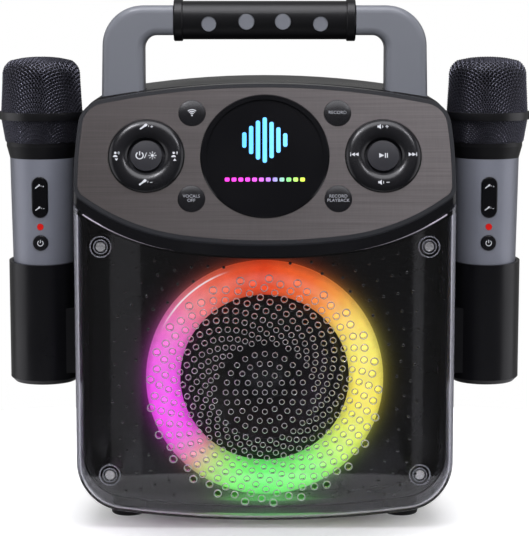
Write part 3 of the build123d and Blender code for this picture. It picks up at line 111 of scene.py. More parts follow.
class Nodes:
    """A node tree, with short ways to add nodes, feed them and work with numbers."""

    def __init__(self, tree: bpy.types.NodeTree) -> None:
        """Wraps a tree."""
        self.tree = tree

    def feed(self, socket: bpy.types.NodeSocket, value: object) -> None:
        """Links an output to a socket, or writes a plain value on it.

        Args:
            socket: The input to fill.
            value: A plain value, an output or a Field.
        """
        value = value.socket if isinstance(value, Field) else value
        if isinstance(value, bpy.types.NodeSocket):
            self.tree.links.new(value, socket)
        elif isinstance(value, tuple) and socket.type == "RGBA":
            socket.default_value = (*value, 1.0)
        else:
            socket.default_value = value

    def node(self, kind: str, settings: dict | None = None, places: dict | None = None,
             **inputs: object) -> bpy.types.Node:
        """Adds a node and fills its inputs.

        Args:
            kind: Blender's name for the node type.
            settings: Properties of the node itself.
            places: Inputs by number, for nodes that have several of one name.
            **inputs: Inputs by name, with underscores for spaces. A value is a plain one, an output or a Field.

        Returns:
            The new node.
        """
        made = self.tree.nodes.new(kind)
        for name, value in (settings or {}).items():
            setattr(made, name, value)
        for place, value in (places or {}).items():
            self.feed(made.inputs[place], value)
        for name, value in inputs.items():
            self.feed(made.inputs[name.replace("_", " ")], value)
        return made

    def math(self, operation: str, first: object, second: object = 0.0) -> Field:
        """One Math node's number."""
        return Field(self, self.node("ShaderNodeMath", {"operation": operation}, {0: first, 1: second}).outputs[0])

    def spread(self, source: object, low: object, high: object, start: float = 0.0, end: float = 1.0,
               smooth: bool = False) -> Field:
        """Adds a Map Range node.

        Args:
            source: The number to map.
            low: What it becomes at the start.
            high: What it becomes at the end.
            start: Where it starts.
            end: Where it ends.
            smooth: Whether it eases in and out.

        Returns:
            The mapped number, which stays between low and high.
        """
        made = self.node("ShaderNodeMapRange", {"interpolation_type": "SMOOTHSTEP" if smooth else "LINEAR"},
                         Value=source, From_Min=start, From_Max=end, To_Min=low, To_Max=high)
        return Field(self, made.outputs[0])

    def parts(self, vector: bpy.types.NodeSocket) -> tuple[Field, ...]:
        """The X, Y and Z of a vector."""
        return tuple(Field(self, part) for part in self.node("ShaderNodeSeparateXYZ", Vector=vector).outputs)


class Shader(Nodes):
    """One node material, built round a Principled shader that reads Object coordinates in metres."""

    def __init__(self, name: str) -> None:
        """Starts an empty material.

        Args:
            name: The material's name, without its ending.
        """
        self.material = bpy.data.materials.new(f"{name}_finish")
        self.material.use_nodes = True
        super().__init__(self.material.node_tree)
        self.base = self.tree.nodes["Principled BSDF"]
        self.place = self.node("ShaderNodeTexCoord").outputs["Object"]

    def set(self, **inputs: object) -> None:
        """Fills the Principled shader's sockets, by name with underscores for spaces."""
        for name, value in inputs.items():
            self.feed(self.base.inputs[name.replace("_", " ")], value)

    def noise(self, size: float, detail: float = 3.0, stretch: tuple[float, ...] = (1, 1, 1)) -> Field:
        """Noise whose features are about that many metres across.

        Args:
            size: Size of a feature, in metres.
            detail: Octaves of finer noise.
            stretch: How many times finer the noise is along each axis.

        Returns:
            The noise, 0 to 1 round 0.5.
        """
        mapping = self.node("ShaderNodeMapping", Vector=self.place, Scale=stretch)
        made = self.node("ShaderNodeTexNoise", Vector=mapping.outputs[0], Scale=1 / size, Detail=detail)
        return Field(self, made.outputs[0])

    def vary(self, noise: Field, low: float, high: float) -> Field:
        """Noise as a number from low to high."""
        return self.spread(noise, low, high, *NOISE_SPAN)

    def blend(self, factor: object, first: object, second: object) -> bpy.types.NodeSocket:
        """A mix of two colours."""
        return self.node("ShaderNodeMix", {"data_type": "RGBA"}, {0: factor, 6: first, 7: second}).outputs[2]

    def tint(self, factor: object, colour: Colour, low: float, high: float) -> bpy.types.NodeSocket:
        """A colour that runs between two shares of its brightness."""
        return self.blend(factor, darker(colour, low), darker(colour, high))

    def ramp(self, factor: object, stops: Iterable[tuple[float, Colour]]) -> bpy.types.NodeSocket:
        """Adds a colour ramp.

        Args:
            factor: Place on the ramp, from 0 to 1.
            stops: Each stop's place and colour, in order.

        Returns:
            The ramp's colour.
        """
        made = self.node("ShaderNodeValToRGB", Fac=factor)
        elements = made.color_ramp.elements
        wanted = list(stops)
        while len(elements) < len(wanted):
            elements.new(0.5)
        for element, (position, colour) in zip(elements, wanted):
            element.position = position
            element.color = (*colour, 1.0)
        return made.outputs[0]

    def bump(self, height: object, depth: float, strength: float) -> None:
        """Gives the Principled shader a bump of that depth, in metres."""
        self.set(Normal=self.node("ShaderNodeBump", Height=height, Strength=strength, Distance=depth).outputs[0])


# ---------------------------------------------------------------- materials


@dataclass(frozen=True)
class Surface:
    """A finish, which mixes a node material of its name."""

    name: str

    def mix(self, shader: Shader) -> None:
        """Fills the shader."""
        raise NotImplementedError

    def material(self) -> bpy.types.Material:
        """Mixes the finish.

        Returns:
            Its node material.
        """
        shader = Shader(self.name)
        self.mix(shader)
        return shader.material


@dataclass(frozen=True)
class Moulding(Surface):
    """Moulded plastic or rubber, with a fine grain from the tool and slow variation in tone."""

    colour: Colour
    roughness: float
    grain: float = 0.35 * MM
    depth: float = 0.012 * MM
    variation: float = 0.10
    specular: float = 0.5

    def mix(self, shader: Shader) -> None:
        """Fills the shader.

        Args:
            shader: The material that is being built.
        """
        fine = shader.noise(self.grain, 2)
        mottle = shader.noise(38 * MM, 4) * 0.7 + fine * 0.3
        shader.set(
            Base_Color=shader.tint(mottle, self.colour, 1 - self.variation, 1 + self.variation),
            Roughness=shader.vary(mottle, self.roughness - 0.05, self.roughness + 0.07),
            Specular_IOR_Level=self.specular,
        )
        shader.bump(fine, self.depth, 0.6)


@dataclass(frozen=True)
class FacedMoulding(Surface):
    """Gloss moulding whose front face, square to one direction, is a satin band painted a lighter colour: a painted
    reflection of the light that glossy face reflects.
    """

    side: Colour
    face: Colour
    normal: tuple[float, float, float]
    level: float
    gloss: float = 0.16
    satin: float = 0.34

    def mix(self, shader: Shader) -> None:
        """Fills the shader.

        Args:
            shader: The material that is being built.
        """
        along = shader.node("ShaderNodeVectorMath", {"operation": "DOT_PRODUCT"}, {0: shader.place, 1: self.normal})
        satin_and_painted_reflection_face = shader.spread(along.outputs["Value"], 0.0, 1.0, self.level - 0.5 * MM, self.level - 0.3 * MM)
        slow = shader.noise(30 * MM, 3)
        # the front face's lighter colour is a painted reflection; its satin roughness is the moulding's own
        shader.set(
            Base_Color=shader.blend(
                satin_and_painted_reflection_face, shader.tint(slow, self.side, 0.9, 1.1), shader.tint(slow, self.face, 0.93, 1.07)),
            Roughness=shader.spread(satin_and_painted_reflection_face, self.gloss, self.satin),
            Specular_IOR_Level=0.45,
        )
        shader.bump(shader.noise(0.5 * MM, 2), 0.003 * MM, 0.4)


@dataclass(frozen=True)
class Metal(Surface):
    """Plated or painted metal with fine turning marks."""

    colour: Colour
    roughness: float
    metallic: float

    def mix(self, shader: Shader) -> None:
        """Fills the shader.

        Args:
            shader: The material that is being built.
        """
        mark = shader.noise(0.25 * MM)
        shader.set(
            Base_Color=shader.tint(shader.noise(6 * MM), self.colour, 0.78, 1.15),
            Roughness=shader.vary(mark, self.roughness - 0.06, self.roughness + 0.10),
            Metallic=self.metallic,
        )
        shader.bump(mark, 0.006 * MM, 0.4)


@dataclass(frozen=True)
class PaintedBarrel(Surface):
    """Satin metallic paint: a fine flake under a thin clear layer."""

    colour: Colour
    roughness: float = 0.42

    def mix(self, shader: Shader) -> None:
        """Fills the shader.

        Args:
            shader: The material that is being built.
        """
        flake = shader.noise(0.16 * MM, 1)
        paint = shader.tint(shader.noise(30 * MM), self.colour, 0.93, 1.06)
        shader.set(
            Base_Color=shader.blend(shader.spread(flake, 0.0, 0.5, 0.55, 0.8), paint, darker(self.colour, 1.5)),
            Roughness=shader.vary(flake, self.roughness - 0.05, self.roughness + 0.06),
            Metallic=0.25,
            Coat_Weight=0.15,
            Coat_Roughness=0.25,
        )
        shader.bump(flake, 0.004 * MM, 0.3)


@dataclass(frozen=True)
class BrushedSheet(Surface):
    """Dark brushed sheet: hairlines along X, a faint cross weave of the rollers, and a painted sheen that makes it
    lighter to the right.
    """

    left: Colour
    right: Colour
    half_width: float

    def mix(self, shader: Shader) -> None:
        """Fills the shader.

        Args:
            shader: The material that is being built.
        """
        across, _, _ = shader.parts(shader.place)
        hair = shader.noise(2.0 * MM, 5, (0.05, 6, 6))
        long_hair = shader.noise(2.6 * MM, 3, (0.03, 2.2, 2.2))
        roller = shader.noise(1.6 * MM, 2, (2.0, 0.12, 0.12))
        streak = (hair * 0.62 + long_hair * 0.38) * 0.86 + roller * 0.14
        # painted sheen: the colour runs from the left one to the lighter right one, standing in for the light the
        # brushed metal reflects on that side
        sheet = shader.blend(shader.spread(across, 0.0, 1.0, -self.half_width, self.half_width), self.left, self.right)
        shade = shader.node("ShaderNodeHueSaturation", Color=sheet, Value=shader.vary(streak, 0.76, 1.26))
        shader.set(Base_Color=shade.outputs[0], Roughness=shader.vary(streak, 0.36, 0.52), Metallic=0.55)
        shader.bump(streak, 0.010 * MM, 0.35)


@dataclass(frozen=True)
class SmokedClear(Surface):
    """Clear plastic with a smoke tint, faint scuffs and a hard gloss; made pale and letting less through, it also
    paints highlights on the cover's rims and edges.
    """

    colour: Colour
    through: float = 1.0
    roughness: float = 0.02
    index: float = 1.49

    def mix(self, shader: Shader) -> None:
        """Fills the shader.

        Args:
            shader: The material that is being built.
        """
        scuff = shader.noise(5 * MM, 5, (1, 1, 3))
        shader.set(
            Base_Color=shader.tint(scuff, self.colour, 0.94, 1.04),
            Roughness=shader.spread(scuff, self.roughness, self.roughness + 0.04, 0.5, 0.8),
            Transmission_Weight=self.through,
            IOR=self.index,
        )


@dataclass(frozen=True)
class RingColours:
    """The running colours of the light ring, by angle clockwise from its top."""

    centre_height: float
    stops: tuple[tuple[float, Colour], ...] = tuple((place, tone(*parts)) for place, *parts in (
        (0.0, 222, 66, 24), (0.07, 234, 104, 44), (0.11, 240, 150, 64), (0.15, 244, 206, 92), (0.2, 245, 230, 104),
        (0.29, 240, 224, 86), (0.345, 214, 232, 96), (0.42, 136, 244, 116), (0.5, 100, 240, 104),
        (0.55, 122, 238, 104), (0.59, 176, 206, 112), (0.62, 216, 134, 150), (0.66, 236, 76, 222),
        (0.71, 246, 76, 236), (0.76, 234, 86, 220), (0.8, 230, 100, 204), (0.84, 228, 112, 176),
        (0.88, 230, 120, 128), (0.92, 228, 100, 76), (0.96, 220, 78, 40), (1.0, 222, 66, 24),
    ))

    def around(self, shader: Shader) -> tuple[bpy.types.NodeSocket, Field, Field]:
        """Works out the colour, the radius and the turn at each point.

        Args:
            shader: The material that is being built.

        Returns:
            The colour, the distance from the loudspeaker's axis in metres, and the clockwise turn from 0 to 1.
        """
        across, _, height = shader.parts(shader.place)
        rise = height - self.centre_height
        turn = ((across.join("ARCTAN2", rise) / (2 * math.pi)).join("FRACT") + 1.0).join("FRACT")
        return shader.ramp(turn, self.stops), (across * across + rise * rise).join("SQRT"), turn


@dataclass(frozen=True)
class LitDiffuser(Surface):
    """Milky plastic lit from behind, brightest along the middle of the channel, with a painted highlight: a pale arc
    near its outer edge, on the upper left, standing in for the light its rounded edge reflects.
    """

    colours: RingColours
    inner: float
    outer: float
    strength: float
    highlight_turn: float = 0.885
    highlight_inset: float = 3.0 * MM

    def mix(self, shader: Shader) -> None:
        """Fills the shader.

        Args:
            shader: The material that is being built.
        """
        colour, radius, turn = self.colours.around(shader)
        half = (self.outer - self.inner) / 2
        off_middle = (radius - (self.inner + self.outer) / 2).join("ABSOLUTE")
        core = shader.spread(off_middle, 1.0, 0.62, half * 0.55, half * 1.02, smooth=True)
        cloud = shader.vary(shader.noise(7 * MM), 0.90, 1.10)
        # painted highlight: a thin pale line 3 mm inside the outer edge, kept to an arc round the highlight turn,
        # whitens the glow there
        off_line = (radius - (self.outer - self.highlight_inset)).join("ABSOLUTE")
        line = shader.spread(off_line, 0.85, 0.0, 0.15 * MM, 0.75 * MM, smooth=True)
        off_highlight = (turn - self.highlight_turn).join("ABSOLUTE")
        painted_highlight = line * shader.spread(off_highlight, 1.0, 0.0, 0.02, 0.07, smooth=True)
        soft = shader.spread(off_middle, 0.06, 0.0, 0.0, half * 0.55, smooth=True)
        shader.set(
            # the base colour is half the running colour of the lamps, painted light, since the milky plastic itself is
            # grey
            Base_Color=shader.blend(0.5, colour, tone(90, 90, 94)),
            Emission_Color=shader.blend(soft.join("MAXIMUM", painted_highlight), colour, WHITE),
            Emission_Strength=core * cloud * self.strength,
            Roughness=shader.spread(cloud, 0.35, 0.5, 0.9, 1.1),
        )


@dataclass(frozen=True)
class GlowingTray(Surface):
    """Black plastic behind the cover, with the ring's spilled light on it."""

    colour: Colour
    colours: RingColours
    ring_inner: float
    ring_outer: float
    reach: float
    strength: float

    def mix(self, shader: Shader) -> None:
        """Fills the shader.

        Args:
            shader: The material that is being built.
        """
        spill, radius, _ = self.colours.around(shader)
        outside = (radius - self.ring_outer).join("MAXIMUM")
        fall = shader.math("POWER", 2.718, outside * (-1 / self.reach))
        within = shader.spread(radius, 0.0, 1.0, self.ring_inner - 2 * self.reach, self.ring_inner, smooth=True)
        slow = shader.noise(30 * MM)
        shader.set(
            Base_Color=shader.tint(slow, self.colour, 0.85, 1.2),
            Roughness=shader.vary(slow, 0.20, 0.30),
            Emission_Color=spill,
            Emission_Strength=fall * within * self.strength,
        )
        shader.bump(shader.noise(0.4 * MM, 2), 0.006 * MM, 0.3)


@dataclass(frozen=True)
class Ink(Surface):
    """Printed marking: pad-printed paint with a slightly uneven film. With a glow it also makes the lamp, and the cover
    lip's painted highlight.
    """

    colour: Colour
    glow: float = 0.0
    roughness: float = 0.5

    def mix(self, shader: Shader) -> None:
        """Fills the shader.

        Args:
            shader: The material that is being built.
        """
        film = shader.noise(0.5 * MM)
        paint = shader.tint(shader.vary(film, 0.0, 1.0), self.colour, 0.86, 1.06)
        shader.set(Base_Color=paint, Roughness=shader.vary(film, self.roughness - 0.05, self.roughness + 0.1))
        if self.glow:
            shader.set(Emission_Color=paint, Emission_Strength=self.glow)


@dataclass(frozen=True)
class LevelBar(Surface):
    """Lit row of the display, running from one colour to another along X."""

    half_width: float
    stops: tuple[tuple[float, Colour], ...]
    glow: float = 0.9

    def mix(self, shader: Shader) -> None:
        """Fills the shader.

        Args:
            shader: The material that is being built.
        """
        across, _, _ = shader.parts(shader.place)
        colour = shader.ramp(shader.spread(across, 0.0, 1.0, -self.half_width, self.half_width), self.stops)
        shader.set(Base_Color=colour, Emission_Color=colour, Emission_Strength=self.glow, Roughness=0.3)


@dataclass(frozen=True)
class Board(Surface):
    """Circuit board with faint copper tracks under the lacquer."""

    colour: Colour
    pitch: float = 4 * MM

    def mix(self, shader: Shader) -> None:
        """Fills the shader.

        Args:
            shader: The material that is being built.
        """
        cells = shader.node("ShaderNodeTexVoronoi", {"feature": "DISTANCE_TO_EDGE"}, Vector=shader.place,
                            Scale=1 / self.pitch)
        track = shader.spread(cells.outputs[0], 1.0, 0.0, 0.02, 0.06)
        shader.set(Base_Color=shader.tint(track, self.colour, 1.0, 1.8), Roughness=shader.spread(track, 0.35, 0.5))


class Finish(Enum):
    """The finishes that the sub-assemblies use."""

    BLACK_SHELL = Moulding("black_shell", tone(17, 17, 20), 0.30, 0.5 * MM, 0.004 * MM, specular=0.4)
    GLOSS_BLACK = Moulding("gloss_black", tone(13, 13, 16), 0.14, 0.6 * MM, 0.002 * MM, specular=0.4)
    SATIN_BLACK = Moulding("satin_black", tone(18, 18, 20), 0.42, 0.3 * MM, 0.008 * MM, specular=0.35)
    KEY_BLACK = Moulding("key_black", tone(22, 22, 25), 0.24, 0.4 * MM, 0.003 * MM, specular=0.45)
    KEY_GREY = Moulding("key_grey", tone(38, 38, 43), 0.40, 0.4 * MM, 0.003 * MM, specular=0.4)
    HANDLE_GREY = Moulding("handle_grey", tone(128, 131, 138), 0.36, 0.35 * MM, 0.008 * MM, variation=0.04)
    RUBBER = Moulding("grip_rubber", tone(20, 20, 22), 0.36, 0.3 * MM, 0.010 * MM, specular=0.4)
    SMOKE = SmokedClear("smoked_clear", tone(236, 236, 242))
    # pale and partly opaque: a painted highlight of the light that the clear edges of the holes catch
    PAINTED_RIM_HIGHLIGHT = SmokedClear("cover_rims", tone(250, 250, 255), 0.72, 0.06)
    # pale and partly opaque: a painted highlight on the cover's rounded side edges and on the rings of the screw bosses
    EDGE = SmokedClear("cover_edge", tone(214, 215, 226), 0.75, 0.10)
    # pale and glowing: a painted highlight for the light carried along the cover's clear top edge
    PAINTED_LIP_HIGHLIGHT = Ink("cover_painted_lip_highlight", tone(172, 164, 178), glow=0.36, roughness=0.12)
    PIP = Moulding("cover_pips", tone(14, 14, 17), 0.12, 0.6 * MM, 0.001 * MM, specular=0.8)
    BARREL = PaintedBarrel("barrel_grey", tone(142, 145, 156))
    BEAD = Moulding("bead_black", tone(14, 14, 17), 0.36, 0.5 * MM, 0.002 * MM, specular=0.6)
    WIRE = Metal("grille_wire", tone(92, 92, 103), 0.30, 0.9)
    MESH_BACK = Moulding("mesh_back", tone(4, 4, 5), 0.6, 0.5 * MM, 0.004 * MM, specular=0.2)
    SCREW = Metal("screw_steel", tone(214, 214, 216), 0.22, 0.65)
    STEEL = Metal("basket_steel", tone(74, 75, 80), 0.42, 0.8)
    FERRITE = Metal("ferrite", tone(52, 52, 56), 0.6, 0.2)
    CONE = Moulding("cone_paper", tone(46, 46, 52), 0.34, 0.5 * MM, 0.03 * MM, variation=0.25)
    ROLL = Moulding("roll_rubber", tone(22, 22, 24), 0.48, 0.4 * MM, 0.01 * MM)
    BOARD = Board("circuit", tone(18, 62, 40))
    CELL = Moulding("cell_wrap", tone(36, 84, 148), 0.35)
    LAMP = Ink("lamp_red", tone(196, 26, 22), glow=0.35, roughness=0.12)
    PRINT = Ink("white_print", tone(222, 224, 228))
    FAINT_PRINT = Ink("grey_print", tone(168, 170, 176))
    METER = LevelBar("meter_blue", 20 * MM, ((0.0, tone(86, 176, 250)), (1.0, tone(112, 196, 255))))
    ROW = LevelBar("meter_row", 26 * MM, (
        (0.0, tone(236, 52, 196)), (0.33, tone(226, 66, 214)), (0.60, tone(150, 120, 214)),
        (0.78, tone(120, 214, 120)), (1.0, tone(214, 232, 60)),
    ))
    # the plate's lighter right colour is a painted sheen
    PLATE = BrushedSheet("brushed_plate", tone(74, 69, 68), tone(105, 100, 100), 120 * MM)

    @cache
    def material(self) -> bpy.types.Material:
        """The finish's node material, made once."""
        return self.value.material()


# ---------------------------------------------------------------- making shapes


@dataclass(frozen=True)
class Plane:
    """A working plane: a point on it, and its right and up directions. Sizes on it are in millimetres."""

    origin: Vector
    up: Vector
    right: Vector = field(default_factory=lambda: Vector((1, 0, 0)))

    @property
    def normal(self) -> Vector:
        """The direction that the plane faces."""
        return self.right.cross(self.up)

    def at(self, across: float, rise: float, lift: float = 0.0) -> Vector:
        """The point in space at a place on the plane, lifted off it."""
        return self.origin + (self.right * across + self.up * rise + self.normal * lift) * MM


def middle(node: str) -> Vector:
    """The middle of a CAD node's box."""
    low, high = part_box(node)
    return (low + high) / 2


@cache
def skin(node: str) -> BVHTree:
    """A CAD node's surface, for finding heights on it."""
    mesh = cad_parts[node].data
    return BVHTree.FromPolygons([vertex.co for vertex in mesh.vertices], [face.vertices[:] for face in mesh.polygons])


def height_on(node: str, plane: Plane, across: float, rise: float) -> float:
    """Height of a CAD node's outer surface over a plane, in millimetres.

    Args:
        node: The CAD node.
        plane: The plane that the height is measured from.
        across: Place along the plane's right direction.
        rise: Place along the plane's up direction.

    Returns:
        The height of the first surface met from outside.
    """
    hit = skin(node).ray_cast(plane.at(across, rise, 80), -plane.normal)[0]
    if hit is None:
        raise ValueError(f"nothing of {node} lies at {across}, {rise}")
    return (hit - plane.origin).dot(plane.normal) / MM


def add_object(name: str, mesh: bpy.types.Mesh, material: bpy.types.Material | None = None) -> bpy.types.Object:
    """Puts a mesh in the scene.

    Args:
        name: The object's name.
        mesh: Its mesh.
        material: Its one material, or None to keep the mesh's own.

    Returns:
        The object, at the origin.
    """
    made = bpy.data.objects.new(name, mesh)
    bpy.context.scene.collection.objects.link(made)
    if material is not None:
        mesh.materials.clear()
        mesh.materials.append(material)
    return made


def plain_mesh(source: bpy.types.Object) -> bpy.types.Mesh:
    """An object's mesh with its modifiers or its text turned into plain faces."""
    return bpy.data.meshes.new_from_object(source.evaluated_get(bpy.context.evaluated_depsgraph_get()))


def from_bmesh(name: str, shape: bmesh.types.BMesh, material: bpy.types.Material,
               smooth: float = 35.0) -> bpy.types.Object:
    """Makes an object of a bmesh.

    Args:
        name: The object's name.
        shape: The bmesh, which is freed.
        material: Its material.
        smooth: The angle in degrees up to which an edge is smooth.

    Returns:
        The object, at the origin.
    """
    for edge in shape.edges:
        edge.smooth = len(edge.link_faces) == 2 and edge.calc_face_angle(0.0) < math.radians(smooth)
    for face in shape.faces:
        face.smooth = True
    mesh = bpy.data.meshes.new(name)
    shape.to_mesh(mesh)
    shape.free()
    return add_object(name, mesh, material)


def merged_copy(node: str) -> bmesh.types.BMesh:
    """Copies a CAD node's mesh with its loose triangles joined.

    Args:
        node: The CAD node.

    Returns:
        The copy, which the caller frees.
    """
    shape = bmesh.new()
    shape.from_mesh(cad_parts[node].data)
    bmesh.ops.remove_doubles(shape, verts=shape.verts, dist=0.004 * MM)
    return shape


def islands(shape: bmesh.types.BMesh) -> list[list[Vector]]:
    """Finds the separate solids of a bmesh.

    Args:
        shape: The bmesh.

    Returns:
        For each solid, the places of its vertices.
    """
    seen, found = set(), []
    for start in shape.verts:
        if start in seen:
            continue
        seen.add(start)
        queue, group = [start], []
        while queue:
            vertex = queue.pop()
            group.append(vertex.co.copy())
            fresh = {edge.other_vert(vertex) for edge in vertex.link_edges} - seen
            seen |= fresh
            queue.extend(fresh)
        found.append(group)
    return found


def chain(points: Sequence) -> list[tuple[int, int]]:
    """The edges that join points in a row."""
    return [(place, place + 1) for place in range(len(points) - 1)]


def dress(finish: Finish, *nodes: str) -> None:
    """Gives CAD nodes a finish."""
    paint(finish.material(), *nodes)


def paint(material: bpy.types.Material, *nodes: str) -> None:
    """Gives CAD nodes a material.

    Args:
        material: The material.
        *nodes: The CAD nodes.
    """
    for node in nodes:
        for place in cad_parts[node].material_slots:
            place.link = "OBJECT"
            place.material = material


def settle(piece: bpy.types.Object, body: str, slot: str, *replaces: str) -> None:
    """Makes a finished piece ride on its body and stand for CAD nodes.

    Args:
        piece: The piece.
        body: The body that carries it.
        slot: The record's material slot; not used.
        *replaces: The CAD nodes that it takes the place of, if any.
    """
    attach(piece, body)
    if replaces:
        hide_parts(*replaces)
    LOG.info("%s: %d faces, on %s", piece.name, len(piece.data.polygons), body)


class Growth(Nodes):
    """A Geometry Nodes tree with named sizes, which ends in Realize Instances and Set Material."""

    def __init__(self, name: str, **sizes: float) -> None:
        """Starts a tree.

        Args:
            name: The tree's name, and its object's.
            **sizes: The named inputs and their values.
        """
        super().__init__(bpy.data.node_groups.new(name, "GeometryNodeTree"))
        self.name = name
        self.sizes = sizes
        face = self.tree.interface
        face.new_socket(name="Geometry", in_out="INPUT", socket_type="NodeSocketGeometry")
        self.identifiers = {
            size: face.new_socket(name=size, in_out="INPUT", socket_type="NodeSocketFloat").identifier for size in sizes
        }
        face.new_socket(name="Geometry", in_out="OUTPUT", socket_type="NodeSocketGeometry")
        self.entry = self.node("NodeGroupInput")
        self.host = self.entry.outputs["Geometry"]
        self.index = Field(self, self.get("InputIndex"))

    def __getitem__(self, name: str) -> Field:
        """A named input."""
        return Field(self, self.entry.outputs[name])

    def get(self, kind: str, settings: dict | None = None, places: dict | None = None,
            **inputs: object) -> bpy.types.NodeSocket:
        """Adds a geometry node as node() does, its type without the prefix, and returns its first output."""
        return self.node("GeometryNode" + kind, settings, places, **inputs).outputs[0]

    def vector(self, x: object = 0.0, y: object = 0.0, z: object = 0.0) -> bpy.types.NodeSocket:
        """A vector of three numbers."""
        return self.node("ShaderNodeCombineXYZ", X=x, Y=y, Z=z).outputs[0]

    def position(self) -> tuple[Field, ...]:
        """The X, Y and Z of each point."""
        return self.parts(self.get("InputPosition"))

    def polar(self, radius: Field, angle: Field) -> tuple[Field, Field]:
        """The two places across a plane, from a radius and an angle."""
        return radius * angle.join("COSINE"), radius * angle.join("SINE")

    def compare(self, operation: str, first: object, second: object) -> bpy.types.NodeSocket:
        """One Compare node's answer."""
        return self.node("FunctionNodeCompare", {"data_type": "FLOAT", "operation": operation},
                         {0: first, 1: second}).outputs[0]

    def joined(self, *parts: bpy.types.NodeSocket) -> bpy.types.NodeSocket:
        """Joins geometries.

        Args:
            *parts: The outputs to join.

        Returns:
            All of them as one.
        """
        made = self.node("GeometryNodeJoinGeometry")
        for part in parts:
            self.feed(made.inputs[0], part)
        return made.outputs[0]

    def circle(self, sides: int, radius: object) -> bpy.types.NodeSocket:
        """A circle in the XY plane."""
        return self.get("CurvePrimitiveCircle", Resolution=sides, Radius=radius)

    def tube(self, path: bpy.types.NodeSocket, sides: int, radius: object, caps: bool = False) -> bpy.types.NodeSocket:
        """A round bar along a curve."""
        return self.get("CurveToMesh", Curve=path, Profile_Curve=self.circle(sides, radius), Fill_Caps=caps)

    def grow(self, geometry: bpy.types.NodeSocket, finish: Finish, points: Sequence[Sequence[float]] = ((0, 0, 0),),
             edges: Sequence[Sequence[int]] = (), bevel: float = 0.0, smooth: bool = False) -> bpy.types.Object:
        """Ends the tree, runs it on a host mesh and turns the result into a plain mesh.

        Args:
            geometry: The output that holds the finished shape.
            finish: The finish that Set Material gives.
            points: The host mesh's points.
            edges: The host mesh's edges.
            bevel: Width of a bevel on sharp edges, in metres, or 0 for none.
            smooth: Whether the faces are shaded smooth.

        Returns:
            The object, at the origin, with no modifier left.
        """
        real = self.get("RealizeInstances", Geometry=geometry)
        painted = self.get("SetMaterial", Geometry=real, Material=finish.material())
        self.node("NodeGroupOutput", Geometry=painted)
        mesh = bpy.data.meshes.new(self.name)
        mesh.from_pydata(points, edges, [])
        made = add_object(self.name, mesh)
        modifier = made.modifiers.new("grow", "NODES")
        modifier.node_group = self.tree
        for name, value in self.sizes.items():
            modifier[self.identifiers[name]] = float(value)
        if bevel:
            rounding = made.modifiers.new("edges", "BEVEL")
            rounding.width = bevel
            rounding.segments = 2
            rounding.limit_method = "ANGLE"
        made.data = plain_mesh(made)
        made.modifiers.clear()
        if smooth:
            for face in made.data.polygons:
                face.use_smooth = True
        return made


# ---------------------------------------------------------------- the cover, its screws and the lit ring


@dataclass
class ScrewHeads:
    """Pan heads with a cross recess, in place of one set of plain CAD screws. Sizes are in millimetres."""

    kind: str
    facing: float
    radius: float = 3.4
    height: float = 1.5
    taper: float = 0.84
    recess: float = 0.74
    arm: float = 0.30
    overcut: float = 1.3
    shank: float = 9.0
    stem: float = 0.42
    overlap: float = 0.98
    bevel: float = 0.12
    sides: int = 30
    seed: int = 7

    def seats(self) -> list[Vector]:
        """Finds where the heads sit.

        Returns:
            The outer end of each CAD screw's axis.
        """
        shape = merged_copy(f"{self.kind}_screws")
        found = []
        for group in islands(shape):
            low, high = (Vector([pick(axis) for axis in zip(*group)]) for pick in (min, max))
            outer = low.y if self.facing < 0 else high.y
            found.append(Vector(((low.x + high.x) / 2, outer, (low.z + high.z) / 2)))
        shape.free()
        return found

    def build(self) -> None:
        """Makes the heads and hides the CAD screws."""
        growth = Growth(f"{self.kind}_screw_heads", Radius=self.radius * MM, Height=self.height * MM,
                        Recess=self.recess, Shank=self.shank * MM, Facing=self.facing)
        radius, height, shank = growth["Radius"], growth["Height"], growth["Shank"]
        head = growth.get("MeshCone", Vertices=self.sides, Radius_Top=radius * self.taper, Radius_Bottom=radius,
                          Depth=height)
        sunk = growth.get("Transform", Geometry=head, Translation=growth.vector(z=height * -1))
        reach = radius * growth["Recess"] * 2
        arms = [growth.get("MeshCube", Size=growth.vector(reach * across, reach * along, height * self.overcut))
                for across, along in ((1.0, self.arm), (self.arm, 1.0))]
        cut = growth.get("MeshBoolean", {"operation": "DIFFERENCE", "solver": "EXACT"},
                         {0: sunk, 1: growth.joined(*arms)}, Self_Intersection=True)
        stem = growth.get("MeshCylinder", Vertices=12, Radius=radius * self.stem, Depth=shank)
        deep = growth.get("Transform", Geometry=stem, Translation=growth.vector(z=shank * -0.5 - height * self.overlap))
        turn = growth.node("FunctionNodeRandomValue", {"data_type": "FLOAT"}, {2: 0.0, 3: math.pi / 2}, Seed=self.seed)
        heads = growth.get("InstanceOnPoints", Points=growth.host, Instance=growth.joined(cut, deep),
                           Rotation=growth.vector(growth["Facing"] * (-math.pi / 2), turn.outputs[1]))
        made = growth.grow(heads, Finish.SCREW, self.seats(), bevel=self.bevel * MM)
        settle(made, BODY, "screw_steel", f"{self.kind}_screws")


